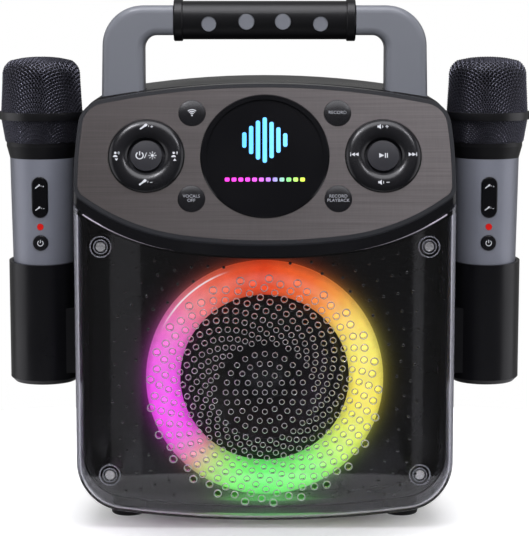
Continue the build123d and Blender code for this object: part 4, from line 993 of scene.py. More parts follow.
@dataclass
class PerforatedCover:
    """The smoked clear cover: rows of holes on rings at the middle, and curved arms of holes round them.

    Sizes are in millimetres and degrees.
    """

    centre: Vector
    face: float = -82.0
    wall: float = 2.4
    sides: int = 14
    middle_count: int = 61
    middle_pitch: float = 6.2
    middle_hole: float = 1.25
    arms: int = 25
    arm_rings: int = 15
    arm_start: float = 31.6
    arm_pitch: float = 2.85
    arm_spread: float = 0.0003
    arm_phase: float = 3.5
    arm_twist: float = 6.0
    arm_shift: Point = (-0.5, 0.5)
    arm_hole: float = 1.25
    arm_growth: float = 0.0028
    rim_radius: float = 1.28
    rim_bead: float = 0.22
    pip_rings: int = 12
    pip_start: float = 84.0
    pip_pitch: float = 4.2
    pip_radius: float = 1.0
    pip_depth: float = 0.45
    pip_side: float = 98.0
    pip_top: float = 171.0
    pip_bow: float = 1.2
    pip_foot: float = 21.0
    lip_bead: float = 0.45
    lip_step: float = 2.0
    lip_half: int = 57
    lip_search: Point = (150.0, 215.0)
    boss_radii: Point = (6.5, 4.3)
    boss_bead: float = 0.42
    reach: float = 78.0
    edge: float = 117.2
    flatness: float = 0.999
    plane_slack: float = 0.02

    def growth(self, name: str, **more: float) -> Growth:
        """Starts a tree whose inputs are the sizes of the holes, in metres and radians.

        Args:
            name: The tree's name.
            **more: More inputs and their values.

        Returns:
            The tree.
        """
        return Growth(
            name, Centre_X=self.centre.x, Centre_Z=self.centre.z, Face=self.face * MM, Wall=self.wall * MM,
            Middle_Pitch=self.middle_pitch * MM, Middle_Hole=self.middle_hole * MM,
            Start=self.arm_start * MM, Pitch=self.arm_pitch * MM, Spread=self.arm_spread * MM,
            Twist=math.radians(self.arm_twist), Phase=math.radians(self.arm_phase), Hole=self.arm_hole * MM,
            Gain=self.arm_growth * MM, Shift_X=self.arm_shift[0] * MM, Shift_Z=self.arm_shift[1] * MM, **more)

    def spiral(self, growth: Growth) -> tuple[Field, Field]:
        """Works out where each indexed point lies on the arms.

        Args:
            growth: The tree.

        Returns:
            The step out along its arm, and the angle in radians.
        """
        step = (growth.index / float(self.arms)).join("FLOOR")
        arm = growth.index - step * float(self.arms)
        return step, arm * (2 * math.pi / self.arms) + growth["Twist"] * step + growth["Phase"]

    def holes(self, growth: Growth, shape: bpy.types.NodeSocket) -> bpy.types.NodeSocket:
        """Instances a unit shape at every hole, scaled to the hole's radius, in the XY plane.

        Args:
            growth: The tree.
            shape: The shape for a hole of radius 1.

        Returns:
            The instances, realized.
        """
        index = growth.index
        ring = ((((index * 12.0) - 3.0).join("MAXIMUM").join("SQRT") + 3.0) / 6.0).join("FLOOR")
        first = ring * (ring - 1.0) * 3.0 + 1.0
        angle = (index - first) / (ring * 6.0) * (2 * math.pi)
        step, turn = self.spiral(growth)
        radius = growth["Start"] + growth["Pitch"] * step + growth["Spread"] * step.join("POWER", 3.0)
        across, rise = growth.polar(radius, turn)
        sets = []
        for count, spot, hole in (
            (self.middle_count, growth.polar(ring * growth["Middle_Pitch"], angle), growth["Middle_Hole"]),
            (self.arms * self.arm_rings, (across + growth["Shift_X"], rise + growth["Shift_Z"]),
             growth["Hole"] + growth["Gain"] * step * step),
        ):
            spots = growth.get("Points", Count=count, Position=growth.vector(*spot))
            sets.append(growth.get("InstanceOnPoints", Points=spots, Instance=shape,
                                   Scale=growth.vector(hole, hole, hole)))
        moved = growth.get("Transform", Geometry=growth.joined(*sets),
                           Translation=growth.vector(growth["Centre_X"], growth["Centre_Z"]))
        return growth.get("RealizeInstances", Geometry=moved)

    def stood(self, growth: Growth, geometry: bpy.types.NodeSocket, back: object) -> bpy.types.NodeSocket:
        """Stands a shape made in the XY plane up at the cover's face.

        Args:
            growth: The tree.
            geometry: The shape.
            back: How far behind the face it stands, in metres.

        Returns:
            The shape, stood up.
        """
        across, rise, lift = growth.position()
        place = growth.vector(across, growth["Face"] + back - lift, rise)
        return growth.get("SetPosition", Geometry=geometry, Position=place)

    def sheet(self, name: str, loops: Sequence[tuple[Point, Point]], back: float) -> bpy.types.Object:
        """Makes one perforated sheet.

        Args:
            name: The sheet's name.
            loops: Its boundary edges, as pairs of (x, z) in metres.
            back: How far behind the face it lies, in metres.

        Returns:
            The sheet.
        """
        growth = self.growth(name, Back=back)
        outline = growth.get("MeshToCurve", Mesh=growth.host)
        holes = self.holes(growth, growth.circle(self.sides, 1.0))
        filled = growth.get("FillCurve", {"mode": "TRIANGLES"}, Curve=growth.joined(outline, holes))
        points: dict[Point, int] = {}
        edges = [tuple(points.setdefault(end, len(points)) for end in pair) for pair in loops]
        return growth.grow(self.stood(growth, filled, growth["Back"]), Finish.SMOKE,
                           [(x, z, 0.0) for x, z in points], edges)

    def walls(self) -> bpy.types.Object:
        """Makes the walls of all the holes.

        Returns:
            The walls, as one object.
        """
        growth = self.growth("hole_walls")
        tube = growth.get("MeshCylinder", {"fill_type": "NONE"}, Vertices=self.sides, Radius=1.0, Depth=1.0)
        holes = self.holes(growth, tube)
        across, rise, lift = growth.position()
        end = lift.join("SIGN") * growth["Wall"] * 0.5
        flat = growth.get("SetPosition", Geometry=holes, Position=growth.vector(across, rise, end))
        return growth.grow(self.stood(growth, flat, growth["Wall"] * 0.5), Finish.SMOKE)

    def rims(self) -> None:
        """The raised lip round each hole, in a pale, partly opaque finish that is a painted highlight of the clear hole
        edges.
        """
        growth = self.growth("cover_rims", Rim=self.rim_bead)
        holes = self.holes(growth, growth.tube(growth.circle(20, self.rim_radius), 5, growth["Rim"]))
        made = growth.grow(self.stood(growth, holes, 0.0), Finish.PAINTED_RIM_HIGHLIGHT, smooth=True)
        settle(made, BODY, "smoked_clear")

    def pips(self) -> None:
        """The small blind pips that carry the arms on over the rest of the cover."""
        growth = Growth(
            "cover_pips", Start=self.pip_start * MM, Pitch=self.pip_pitch * MM, Radius=self.pip_radius * MM,
            Twist=math.radians(self.arm_twist), Phase=math.radians(self.arm_phase + self.arm_twist * self.arm_rings),
            Centre_X=self.centre.x, Centre_Z=self.centre.z, Face=self.face * MM)
        step, turn = self.spiral(growth)
        across, rise = growth.polar(growth["Start"] + growth["Pitch"] * step, turn)
        place = growth.vector(across + growth["Centre_X"], growth["Face"], rise + growth["Centre_Z"])
        spots = growth.get("Points", Count=self.arms * self.pip_rings, Position=place)
        x, _, z = growth.position()
        past_side = x.join("ABSOLUTE") - self.pip_side * MM
        past_top = z - (x * x * self.pip_bow + self.pip_top * MM)
        outside = past_side.join("MAXIMUM", past_top).join("MAXIMUM", (z - self.pip_foot * MM) * -1.0)
        kept = growth.get("DeleteGeometry", {"domain": "POINT"}, Geometry=spots,
                          Selection=growth.compare("GREATER_THAN", outside, 0.0))
        dome = growth.get("MeshUVSphere", Segments=10, Rings=6, Radius=growth["Radius"])
        flat = growth.get("Transform", Geometry=dome, Scale=(1.0, self.pip_depth, 1.0))
        pips = growth.get("InstanceOnPoints", Points=kept, Instance=flat)
        settle(growth.grow(pips, Finish.PIP, smooth=True), BODY, "smoked_clear")

    def painted_lip_highlight(self) -> None:
        """The bead along the cover's top edge, under the panel's skirt, in a pale glowing finish: a painted highlight
        of the clear edge.
        """
        skirt = skin("control_bezel")
        points = []
        for place in range(-self.lip_half, self.lip_half + 1):
            x, low, high = place * self.lip_step * MM, self.lip_search[0] * MM, self.lip_search[1] * MM
            while high - low > self.plane_slack * MM:
                half_way = (low + high) / 2
                hit = skirt.ray_cast(Vector((x, -0.3, half_way)), Vector((0, 1, 0)))[0]
                low, high = (low, half_way) if hit else (half_way, high)
            points.append((x, self.face * MM, low - self.lip_bead * MM))
        growth = Growth("cover_painted_lip_highlight", Bead=self.lip_bead * MM)
        tube = growth.tube(growth.get("MeshToCurve", Mesh=growth.host), 10, growth["Bead"], caps=True)
        made = growth.grow(tube, Finish.PAINTED_LIP_HIGHLIGHT, points, chain(points), smooth=True)
        settle(made, BODY, "smoked_clear")

    def bosses(self) -> None:
        """The moulded rings round each corner screw, in the paler edge finish, a painted highlight."""
        growth = Growth("cover_bosses", Outer=self.boss_radii[0] * MM, Inner=self.boss_radii[1] * MM,
                        Bead=self.boss_bead * MM)
        rings = [growth.tube(growth.circle(48, growth[name]), 10, growth["Bead"]) for name in ("Outer", "Inner")]
        stood = growth.get("Transform", Geometry=growth.joined(*rings), Rotation=(math.pi / 2, 0.0, 0.0))
        set_down = growth.get("InstanceOnPoints", Points=growth.host, Instance=stood)
        points = [(seat.x, self.face * MM, seat.z) for seat in ScrewHeads("cover", -1.0).seats()]
        settle(growth.grow(set_down, Finish.EDGE, points, smooth=True), BODY, "smoked_clear")

    def shell(self) -> None:
        """The cover itself, from the CAD cover's edges and new perforated sheets."""
        shape = merged_copy("front_cover")
        front, inner = self.face * MM, (self.face + self.wall) * MM
        slack = self.plane_slack * MM
        doomed, planes = [], {front: [], inner: []}
        for face in shape.faces:
            heights = [vertex.co.y for vertex in face.verts]
            spot = face.calc_center_median() - self.centre
            flat = any(all(abs(height - plane) < slack for height in heights) for plane in planes)
            if flat or (math.hypot(spot.x, spot.z) < self.reach * MM and front - MM < min(heights) < inner):
                doomed.append(face)
        bmesh.ops.delete(shape, geom=doomed, context="FACES")
        for edge in shape.edges:
            for plane, pairs in planes.items():
                if len(edge.link_faces) == 1 and all(abs(vertex.co.y - plane) < slack for vertex in edge.verts):
                    pairs.append(tuple((vertex.co.x, vertex.co.z) for vertex in edge.verts))
        for part in (
            self.sheet("cover_front_sheet", planes[front], 0.0),
            self.sheet("cover_inner_sheet", planes[inner], self.wall * MM),
            self.walls(),
        ):
            shape.from_mesh(part.data)
            bpy.data.objects.remove(part)
        bmesh.ops.remove_doubles(shape, verts=shape.verts, dist=0.01 * MM)
        bmesh.ops.recalc_face_normals(shape, faces=shape.faces)
        open_edges = sum(1 for edge in shape.edges if len(edge.link_faces) != 2)
        LOG.info("cover: %d open edges, loops of %s edges", open_edges, [len(pairs) for pairs in planes.values()])
        made = from_bmesh("perforated_cover", shape, Finish.SMOKE.material())
        made.data.materials.append(Finish.EDGE.material())
        for face in made.data.polygons:
            if abs(face.normal.y) > self.flatness:
                face.use_smooth = False
            elif abs(face.center.x) > self.edge * MM:
                # faces past the side edge take the second, paler finish: a painted highlight for the bright bands that
                # these rounded edges reflect
                face.material_index = 1
        settle(made, BODY, "smoked_clear", "front_cover")

    def build(self) -> None:
        """Makes the cover and what is moulded on it."""
        for make in (self.shell, self.rims, self.pips, self.painted_lip_highlight, self.bosses):
            make()


@dataclass
class LitChannel:
    """The light ring with its running colours, and the tray behind the cover that catches its glow."""

    inner: float = 55.5
    outer: float = 77.7
    strength: float = 1.26
    glow: float = 0.26
    reach: float = 3.2

    def build(self) -> None:
        """Gives the ring, tray and woofer their materials."""
        colours = RingColours(middle("light_ring").z)
        inner, outer = self.inner * MM, self.outer * MM
        paint(LitDiffuser("ring_diffuser", colours, inner, outer, self.strength).material(), "light_ring")
        paint(GlowingTray("speaker_tray", tone(14, 14, 17), colours, inner, outer, self.reach * MM,
                          self.glow).material(), "speaker_baffle")
        dress(Finish.CONE, "woofer_cone")
        dress(Finish.ROLL, "woofer_surround")
        dress(Finish.STEEL, "woofer_basket")
        dress(Finish.FERRITE, "woofer_magnet")
        dress(Finish.BOARD, "led_board")


# ---------------------------------------------------------------- the markings


def arc(centre: Point, radius: float, start: float, end: float, steps: int = 14) -> list[Point]:
    """Points along an arc, from one angle to another in degrees."""
    turns = [math.radians(start + (end - start) * step / steps) for step in range(steps + 1)]
    return [(centre[0] + radius * math.cos(turn), centre[1] + radius * math.sin(turn)) for turn in turns]


def disc(centre: Point, radius: float, sides: int) -> list[Point]:
    """A round shape."""
    return arc(centre, radius, 0, 360, sides)[:-1]


def stroke(points: Sequence[Point], width: float) -> Shapes:
    """Follows a line with quads.

    Args:
        points: The line.
        width: Its width.

    Returns:
        The quads, one for each stretch.
    """
    sides = []
    for place, (x, y) in enumerate(points):
        before, after = points[max(place - 1, 0)], points[min(place + 1, len(points) - 1)]
        across, rise = after[0] - before[0], after[1] - before[1]
        length = math.hypot(across, rise) or 1.0
        off = (-rise / length * width / 2, across / length * width / 2)
        sides.append(((x - off[0], y - off[1]), (x + off[0], y + off[1])))
    return [[low, next_low, next_high, high] for (low, high), (next_low, next_high) in zip(sides, sides[1:])]


def bar(low: Point, high: Point, radius: float = 0.0) -> list[Point]:
    """Makes a rectangle.

    Args:
        low: Its lower left corner.
        high: Its upper right corner.
        radius: Radius of its corners, or 0 for sharp ones.

    Returns:
        Its outline.
    """
    if not radius:
        return [low, (high[0], low[1]), high, (low[0], high[1])]
    corners = (((high[0] - radius, low[1] + radius), -90), ((high[0] - radius, high[1] - radius), 0),
               ((low[0] + radius, high[1] - radius), 90), ((low[0] + radius, low[1] + radius), 180))
    return [point for spot, start in corners for point in arc(spot, radius, start, start + 90, 4)]


def triangle(x: float, way: float, half: float) -> list[Point]:
    """A triangle that points right for way 1 and left for -1."""
    points = [(x - way * half, -half * 1.05), (x + way * half, 0.0), (x - way * half, half * 1.05)]
    return points if way > 0 else points[::-1]


def power(x: float, radius: float) -> Shapes:
    """An open ring with a bar at its top."""
    ring = stroke(arc((x, 0), radius, 125, 415, 20), radius * 0.30)
    return ring + [bar((x - radius * 0.15, 0.1), (x + radius * 0.15, radius * 1.2))]


def sun(x: float) -> Shapes:
    """Makes a disc with eight rays.

    Args:
        x: Where its middle lies.

    Returns:
        Its shapes.
    """
    ways = [(math.cos(turn * math.pi / 4), math.sin(turn * math.pi / 4)) for turn in range(8)]
    rays = [quad for c, s in ways for quad in stroke([(x + 1.35 * c, 1.35 * s), (x + 2.65 * c, 2.65 * s)], 0.36)]
    return [disc((x, 0), 0.95, 18)] + rays


def speaker() -> Shapes:
    """Makes a horn with one wave.

    Returns:
        Its shapes.
    """
    x = -1.6
    horn = [(x - 1.4, -0.55), (x - 0.6, -0.55), (x + 0.4, -1.4), (x + 0.4, 1.4), (x - 0.6, 0.55), (x - 1.4, 0.55)]
    return [horn] + stroke(arc((-1.1, 0), 0.95, -45, 45, 6), 0.3)


def sign(x: float, plus: bool) -> Shapes:
    """A plus or a minus."""
    level = [bar((x - 0.8, -0.2), (x + 0.8, 0.2))]
    return level + ([bar((x - 0.2, -0.8), (x + 0.2, 0.8))] if plus else [])


def microphone() -> Shapes:
    """Makes a slanting hand microphone with one wave.

    Returns:
        Its shapes.
    """
    x, along, side = -1.9, Vector((0.79, 0.61)), Vector((-0.61, 0.79))
    stations = ((-2.9, 0.5), (0.7, 0.62), (1.1, 0.9), (2.3, 0.9), (2.9, 0.45))
    outline = [along * far - side * half for far, half in stations]
    outline += [along * far + side * half for far, half in reversed(stations)]
    return [[(x + spot.x, spot.y) for spot in outline]] + stroke(arc((x + 2.6, 0.4), 0.9, -48, 48, 6), 0.32)


def person() -> Shapes:
    """Makes a head and shoulders that speaks to the right.

    Returns:
        Its shapes.
    """
    x = -0.9
    waves = [quad for size in (0.75, 1.4) for quad in stroke(arc((x + 0.9, 0.9), size, -42, 42, 6), 0.3)]
    return [disc((x, 0.95), 0.75, 14), arc((x, -1.7), 1.35, 0, 180, 12)] + waves


def waves() -> Shapes:
    """A dot with three arcs over it."""
    arcs = [quad for size in (1.3, 2.3, 3.3) for quad in stroke(arc((0, -1.6), size, 48, 132, 10), 0.5)]
    return [disc((0, -1.6), 0.45, 12)] + arcs


class Icon(Enum):
    """The keys' markings: the scale that the panel prints each at, and its shapes, about 4.5 mm high round (0, 0)."""

    POWER_LIGHT = 1.0, power(-4.1, 2.25) + stroke([(-1.1, -1.8), (0.3, 1.8)], 0.42) + sun(3.9)
    PLAY = 1.12, [triangle(-1.0, 1, 1.35), bar((0.85, -1.4), (1.4, 1.4)), bar((1.95, -1.4), (2.5, 1.4))]
    NEXT = 1.22, [triangle(-1.2, 1, 0.95), triangle(0.7, 1, 0.95), bar((1.75, -1.0), (2.15, 1.0))]
    PREVIOUS = 1.22, [triangle(1.2, -1, 0.95), triangle(-0.7, -1, 0.95), bar((-2.15, -1.0), (-1.75, 1.0))]
    SPEAKER_UP = 1.22, speaker() + sign(2.0, True)
    SPEAKER_DOWN = 1.22, speaker() + sign(2.0, False)
    MIC_UP = 0.94, microphone() + sign(3.7, True)
    MIC_DOWN = 0.94, microphone() + sign(3.7, False)
    VOICE_LEFT = 1.05, person() + [[(-0.2, -4.0), (0.9, -2.6), (-1.3, -2.6)]]
    VOICE_RIGHT = 1.05, person() + [[(-1.3, -4.0), (0.9, -4.0), (-0.2, -2.6)]]
    WAVES = 1.15, waves()
    POWER = 1.0, power(0.0, 1.5)

    def __init__(self, scale: float, shapes: Shapes) -> None:
        """Keeps the scale and the shapes."""
        self.scale = scale
        self.shapes = shapes

    @property
    def label(self) -> str:
        """The icon's name, as its pieces carry it."""
        return self.name.lower()


@dataclass
class Marking:
    """A printed mark on a flat place: polygons or words, as a film of real thickness."""

    name: str
    node: str
    plane: Plane
    place: Point
    finish: Finish = Finish.PRINT
    body: str = ""
    slot: str = "key_black"
    film: float = 0.05

    def settle(self, made: bpy.types.Object) -> None:
        """Settles the mark on its body, which is named like the node if none is given."""
        settle(made, self.body or self.node, self.slot)

    def print_shapes(self, shapes: Shapes, scale: float = 1.0) -> None:
        """Prints polygons round the mark's place.

        Args:
            shapes: The polygons, in millimetres round (0, 0).
            scale: How many times larger they are printed.
        """
        lift = height_on(self.node, self.plane, *self.place)
        shape = bmesh.new()
        for loop in shapes:
            spots = [(self.place[0] + x * scale, self.place[1] + y * scale) for x, y in loop]
            top = [shape.verts.new(self.plane.at(x, y, lift + self.film)) for x, y in spots]
            foot = [shape.verts.new(self.plane.at(x, y, lift - self.film)) for x, y in spots]
            shape.faces.new(top)
            shape.faces.new(foot[::-1])
            for here in range(len(spots)):
                there = (here + 1) % len(spots)
                shape.faces.new((top[here], foot[here], foot[there], top[there]))
        bmesh.ops.recalc_face_normals(shape, faces=shape.faces)
        self.settle(from_bmesh(self.name, shape, self.finish.material(), 20))

    def print_words(self, text: str, size: float, spacing: float) -> None:
        """Prints words, centred on the mark's place.

        Args:
            text: The words, with a line break between rows.
            size: Size of the letters, in millimetres.
            spacing: Space between the rows, as a share of the usual one.
        """
        lift = height_on(self.node, self.plane, *self.place)
        letters = bpy.data.curves.new(self.name, "FONT")
        letters.body = text
        letters.size = size
        letters.align_x = letters.align_y = "CENTER"
        letters.space_line = spacing
        letters.extrude = self.film
        letters.resolution_u = 4
        carrier = bpy.data.objects.new(self.name, letters)
        bpy.context.scene.collection.objects.link(carrier)
        mesh = plain_mesh(carrier)
        bpy.data.objects.remove(carrier)
        for vertex in mesh.vertices:
            x, y, z = vertex.co
            vertex.co = self.plane.at(self.place[0] + x, self.place[1] + y, lift + z)
        self.settle(add_object(self.name, mesh, self.finish.material()))


# ---------------------------------------------------------------- the panel, microphones and housing


@dataclass
class ControlPanel:
    """The tilted panel: brushed plate, round display with its level meter, keys and their markings.

    Sizes are in millimetres and degrees.
    """

    tilt: float = 22.0
    ring_side: float = 74.6
    icon_radius: float = 18.3
    key_side: float = 46.0
    key_rise: float = 28.2
    letter: float = 2.9
    bars: tuple[float, ...] = (0.34, 0.62, 0.86, 1.0, 0.80, 0.56, 0.30)
    dashes: tuple[float, ...] = (1.0,) * 12
    pitch: float = 4.3
    plane: Plane = field(init=False)

    def __post_init__(self) -> None:
        """Places the panel's plane at the display's middle."""
        turn = math.radians(self.tilt)
        self.plane = Plane(middle("display_lens"), Vector((0, math.sin(turn), math.cos(turn))))

    def dress(self) -> None:
        """Gives the panel's CAD pieces their materials."""
        normal = self.plane.normal
        level = max(normal.dot(vertex.co) for vertex in bpy.data.objects["control_bezel"].data.vertices)
        # the bezel's front face gets the lighter colour, a painted reflection
        band = FacedMoulding("bezel_frame", tone(20, 20, 23), tone(34, 35, 39), tuple(normal), level)
        paint(band.material(), "control_bezel")
        dress(Finish.PLATE, "control_plate")
        dress(Finish.GLOSS_BLACK, "display_trim", "display_lens")
        dress(Finish.BOARD, "key_board")
        dress(Finish.SATIN_BLACK, "left_ring_pivot", "right_ring_pivot")
        dress(Finish.KEY_GREY, "power_button", "play_button")
        dress(Finish.KEY_BLACK, "left_ring", "right_ring", "wireless_button", "record_button", "vocals_button",
              "playback_button")

    def row(self, name: str, finish: Finish, rise: float, shares: Sequence[float], size: Point,
            radius: float) -> None:
        """Prints a row of bars on the display.

        Args:
            name: The piece's name.
            finish: Its finish.
            rise: Height of the row's middle over the display's.
            shares: Each bar's share of the full height.
            size: Width and full height of a bar.
            radius: Radius of a bar's corners.
        """
        centres = [(place - (len(shares) - 1) / 2) * self.pitch for place in range(len(shares))]
        half = size[0] / 2
        bars = [bar((x - half, -size[1] * share / 2), (x + half, size[1] * share / 2), radius)
                for x, share in zip(centres, shares)]
        Marking(name, "display_lens", self.plane, (0.0, rise), finish, BODY, "display_glass").print_shapes(bars)

    def icon(self, name: str, node: str, place: Point, icon: Icon) -> None:
        """Prints an icon on a key."""
        Marking(name, node, self.plane, place).print_shapes(icon.shapes, icon.scale)

    def prints(self) -> None:
        """The markings of the rings, buttons and small keys."""
        reach, side, rise = self.icon_radius, self.key_side, self.key_rise
        for way, ring, icons in (
            (-1, "left_ring", (Icon.MIC_UP, Icon.VOICE_RIGHT, Icon.MIC_DOWN, Icon.VOICE_LEFT)),
            (1, "right_ring", (Icon.SPEAKER_UP, Icon.NEXT, Icon.SPEAKER_DOWN, Icon.PREVIOUS)),
        ):
            for icon, (across, up) in zip(icons, ((0, reach), (reach, 0), (0, -reach), (-reach, 0))):
                self.icon(f"{ring}_{icon.label}", ring, (way * self.ring_side + across, up), icon)
        self.icon("power_button_mark", "power_button", (-self.ring_side, 0.0), Icon.POWER_LIGHT)
        self.icon("play_button_mark", "play_button", (self.ring_side, 0.0), Icon.PLAY)
        self.icon("wireless_mark", "wireless_button", (-side, rise), Icon.WAVES)
        for node, words, place in (
            ("record_button", "RECORD", (side, rise)), ("vocals_button", "VOCALS\nOFF", (-side, -rise)),
            ("playback_button", "RECORD\nPLAYBACK", (side, -rise)),
        ):
            Marking(f"{node}_words", node, self.plane, place, Finish.FAINT_PRINT).print_words(words, self.letter, 0.95)

    def build(self) -> None:
        """Dresses and prints the panel."""
        self.dress()
        self.row("level_meter", Finish.METER, rise=10.4, shares=self.bars, size=(2.7, 30.0), radius=1.2)
        self.row("level_row", Finish.ROW, rise=-15.6, shares=self.dashes, size=(3.0, 2.6), radius=0.7)
        self.prints()


@dataclass
class Microphone:
    """One microphone: painted barrel, collar, woven wire head with its ring, keys and their marks.

    Sizes are in millimetres and degrees.
    """

    side: str
    pitch: float = 2.15
    wire: float = 0.38
    weave: float = 0.50
    turned: float = 40.0
    station: float = 0.25
    cap: float = 20.0
    dip: float = 0.05
    pole: float = 0.5
    tuck: Point = (1.6, 1.8)
    bead_edge: float = 0.7
    bead_angle: float = 50.0

    def profile(self) -> list[Point]:
        """Reads the head's outline from the CAD grille.

        Returns:
            The outline from its pole down, as (radius, height) in millimetres.
        """
        mesh = merged_copy(f"{self.side}_mic_grille")
        axis = middle(f"{self.side}_mic_grille")
        rows: dict[int, float] = {}
        for vertex in mesh.verts:
            radius = math.hypot(vertex.co.x - axis.x, vertex.co.y - axis.y) / MM
            step = round(vertex.co.z / MM / self.station)
            rows[step] = max(rows.get(step, 0.0), radius)
        mesh.free()
        outline = [(rows[step], step * self.station) for step in sorted(rows, reverse=True)]
        kept, widest = [], 0.0
        for radius, height in outline:
            if radius >= widest - self.dip or height < outline[0][1] - self.cap:
                kept.append((radius, height))
                widest = max(widest, radius)
        radius, height = kept[-1]
        foot = (radius - self.tuck[0], height - self.tuck[1])
        return [(0.0, kept[0][1])] + [spot for spot in kept if spot[0] > self.pole] + [foot]

    def mesh_head(self) -> None:
        """The woven wire: a flat grid of wires laid over the head's outline."""
        axis = middle(f"{self.side}_mic_grille")
        outline = self.profile()
        length = sum(math.dist(a, b) for a, b in zip(outline, outline[1:]))
        growth = Growth(f"{self.side}_mic_mesh", Pitch=self.pitch * MM, Wire=self.wire * MM, Weave=self.weave * MM,
                        Reach=length * MM, Turned=math.radians(self.turned), Centre_X=axis.x, Centre_Y=axis.y)
        lines = 2 * math.ceil(length / self.pitch) + 1
        span = growth["Pitch"] * float(lines - 1)
        grid = growth.get("MeshGrid", Size_X=span, Size_Y=span, Vertices_X=lines, Vertices_Y=lines)
        along, across, _ = growth.position()
        reach = (along * along + across * across).join("SQRT")
        trimmed = growth.get("DeleteGeometry", {"domain": "POINT"}, Geometry=grid,
                             Selection=growth.compare("GREATER_THAN", reach, growth["Reach"]))
        ends = growth.node("GeometryNodeInputMeshEdgeVertices").outputs
        first, second = growth.parts(ends["Position 1"]), growth.parts(ends["Position 2"])
        path = growth.get("MeshToCurve", Mesh=growth.host)
        count = ((along + across) / growth["Pitch"]).join("ROUND")
        over = count.join("PINGPONG", 1.0) * 2.0 - 1.0
        spot = growth.node("GeometryNodeSampleCurve", {"mode": "LENGTH", "use_all_curves": False}, Curves=path,
                           Length=reach)
        out, _, height = growth.parts(spot.outputs["Position"])
        turn = across.join("ARCTAN2", along) + growth["Turned"]
        sets = []
        for other, way in ((1, 1.0), (0, -1.0)):
            level = growth.compare("LESS_THAN", (first[other] - second[other]).join("ABSOLUTE"), growth["Pitch"] * 0.25)
            wires = growth.get("MeshToCurve", Mesh=trimmed, Selection=level)
            lift = over * growth["Weave"] * way
            x, y = growth.polar(out + lift, turn)
            moved = growth.vector(x + growth["Centre_X"], y + growth["Centre_Y"], height + lift * 0.5)
            bent = growth.get("SetPosition", Geometry=wires, Position=moved)
            sets.append(growth.tube(bent, 5, growth["Wire"], caps=True))
        points = [(radius * MM, 0.0, height * MM) for radius, height in outline]
        made = growth.grow(growth.joined(*sets), Finish.WIRE, points, chain(points), smooth=True)
        settle(made, f"{self.side}_mic", "grille_wire")

    def ring(self) -> None:
        """The ring round the head, with its edges rounded over."""
        node = f"{self.side}_mic_ring"
        shape = merged_copy(node)
        sharp = [edge for edge in shape.edges
                 if len(edge.link_faces) == 2 and edge.calc_face_angle(0.0) > math.radians(self.bead_angle)]
        bmesh.ops.bevel(shape, geom=sharp, offset=self.bead_edge * MM, segments=3, profile=0.5, affect="EDGES",
                        clamp_overlap=True)
        made = from_bmesh(f"{self.side}_mic_bead", shape, Finish.BEAD.material(), 60.0)
        settle(made, f"{self.side}_mic", "gloss_black", node)

    def marks(self) -> None:
        """The signs on the rocker and the switch."""
        for part, icon, rise, scale in (
            ("rocker", Icon.MIC_UP, 7.2, 0.68), ("rocker", Icon.MIC_DOWN, -7.2, 0.68), ("switch", Icon.POWER, 0.0, 1.2),
        ):
            node = f"{self.side}_mic_{part}"
            plane = Plane(middle(node), Vector((0, 0, 1)))
            Marking(f"{node}_{icon.label}", node, plane, (0.0, rise), film=0.12).print_shapes(icon.shapes, scale)

    def build(self) -> None:
        """Dresses the microphone."""
        for part, finish in (
            ("barrel", Finish.BARREL), ("collar", Finish.SATIN_BLACK), ("grille", Finish.MESH_BACK),
            ("capsule", Finish.SATIN_BLACK), ("cell", Finish.CELL), ("rocker", Finish.GLOSS_BLACK),
            ("switch", Finish.KEY_BLACK), ("lamp", Finish.LAMP),
        ):
            dress(finish, f"{self.side}_mic_{part}")
        self.mesh_head()
        self.ring()
        self.marks()


@dataclass
class Housing:
    """The cabinet, handle, holders, feet and rear fittings, with their screws."""

    def build(self) -> None:
        """Dresses the housing and makes the screw heads."""
        dress(Finish.BLACK_SHELL, "cabinet", "rear_cover", "left_mic_holder", "right_mic_holder")
        dress(Finish.HANDLE_GREY, "handle_front", "handle_rear")
        dress(Finish.RUBBER, "handle_grip", "feet")
        dress(Finish.SATIN_BLACK, "socket_plate", "aux_socket")
        dress(Finish.STEEL, "charge_socket")
        dress(Finish.BOARD, "main_board")
        dress(Finish.CELL, "battery_pack")
        for kind, facing in (("cover", -1.0), ("rear", 1.0), ("handle", 1.0), ("woofer", -1.0)):
            ScrewHeads(kind, facing).build()


# ---------------------------------------------------------------- the studio


@dataclass
class Softbox:
    """One soft area light that looks from a spot at an aim.

    Attributes:
        name: The light's name.
        spot: Where it stands, in millimetres.
        aim: What it looks at, in millimetres.
        size: Width and height, in millimetres.
        power: Power in watts.
        mirror: Whether glossy surfaces show it.
        fill: Whether it lights matt surfaces.
        colour: Its colour.
    """

    name: str
    spot: tuple[float, float, float]
    aim: tuple[float, float, float]
    size: Point
    power: float
    mirror: bool = True
    fill: bool = False
    colour: Colour = (0.955, 0.95, 1.0)

    def build(self) -> None:
        """Puts the light in the scene."""
        lamp = bpy.data.lights.new(self.name, "AREA")
        lamp.shape = "RECTANGLE"
        lamp.size, lamp.size_y = self.size[0] * MM, self.size[1] * MM
        lamp.energy = self.power
        lamp.color = self.colour
        carrier = bpy.data.objects.new(self.name, lamp)
        carrier.location = Vector(self.spot) * MM
        carrier.rotation_euler = (Vector(self.aim) - Vector(self.spot)).to_track_quat("-Z", "Y").to_euler()
        carrier.visible_camera = False
        carrier.visible_glossy = carrier.visible_transmission = self.mirror
        carrier.visible_diffuse = self.fill
        bpy.context.scene.collection.objects.link(carrier)


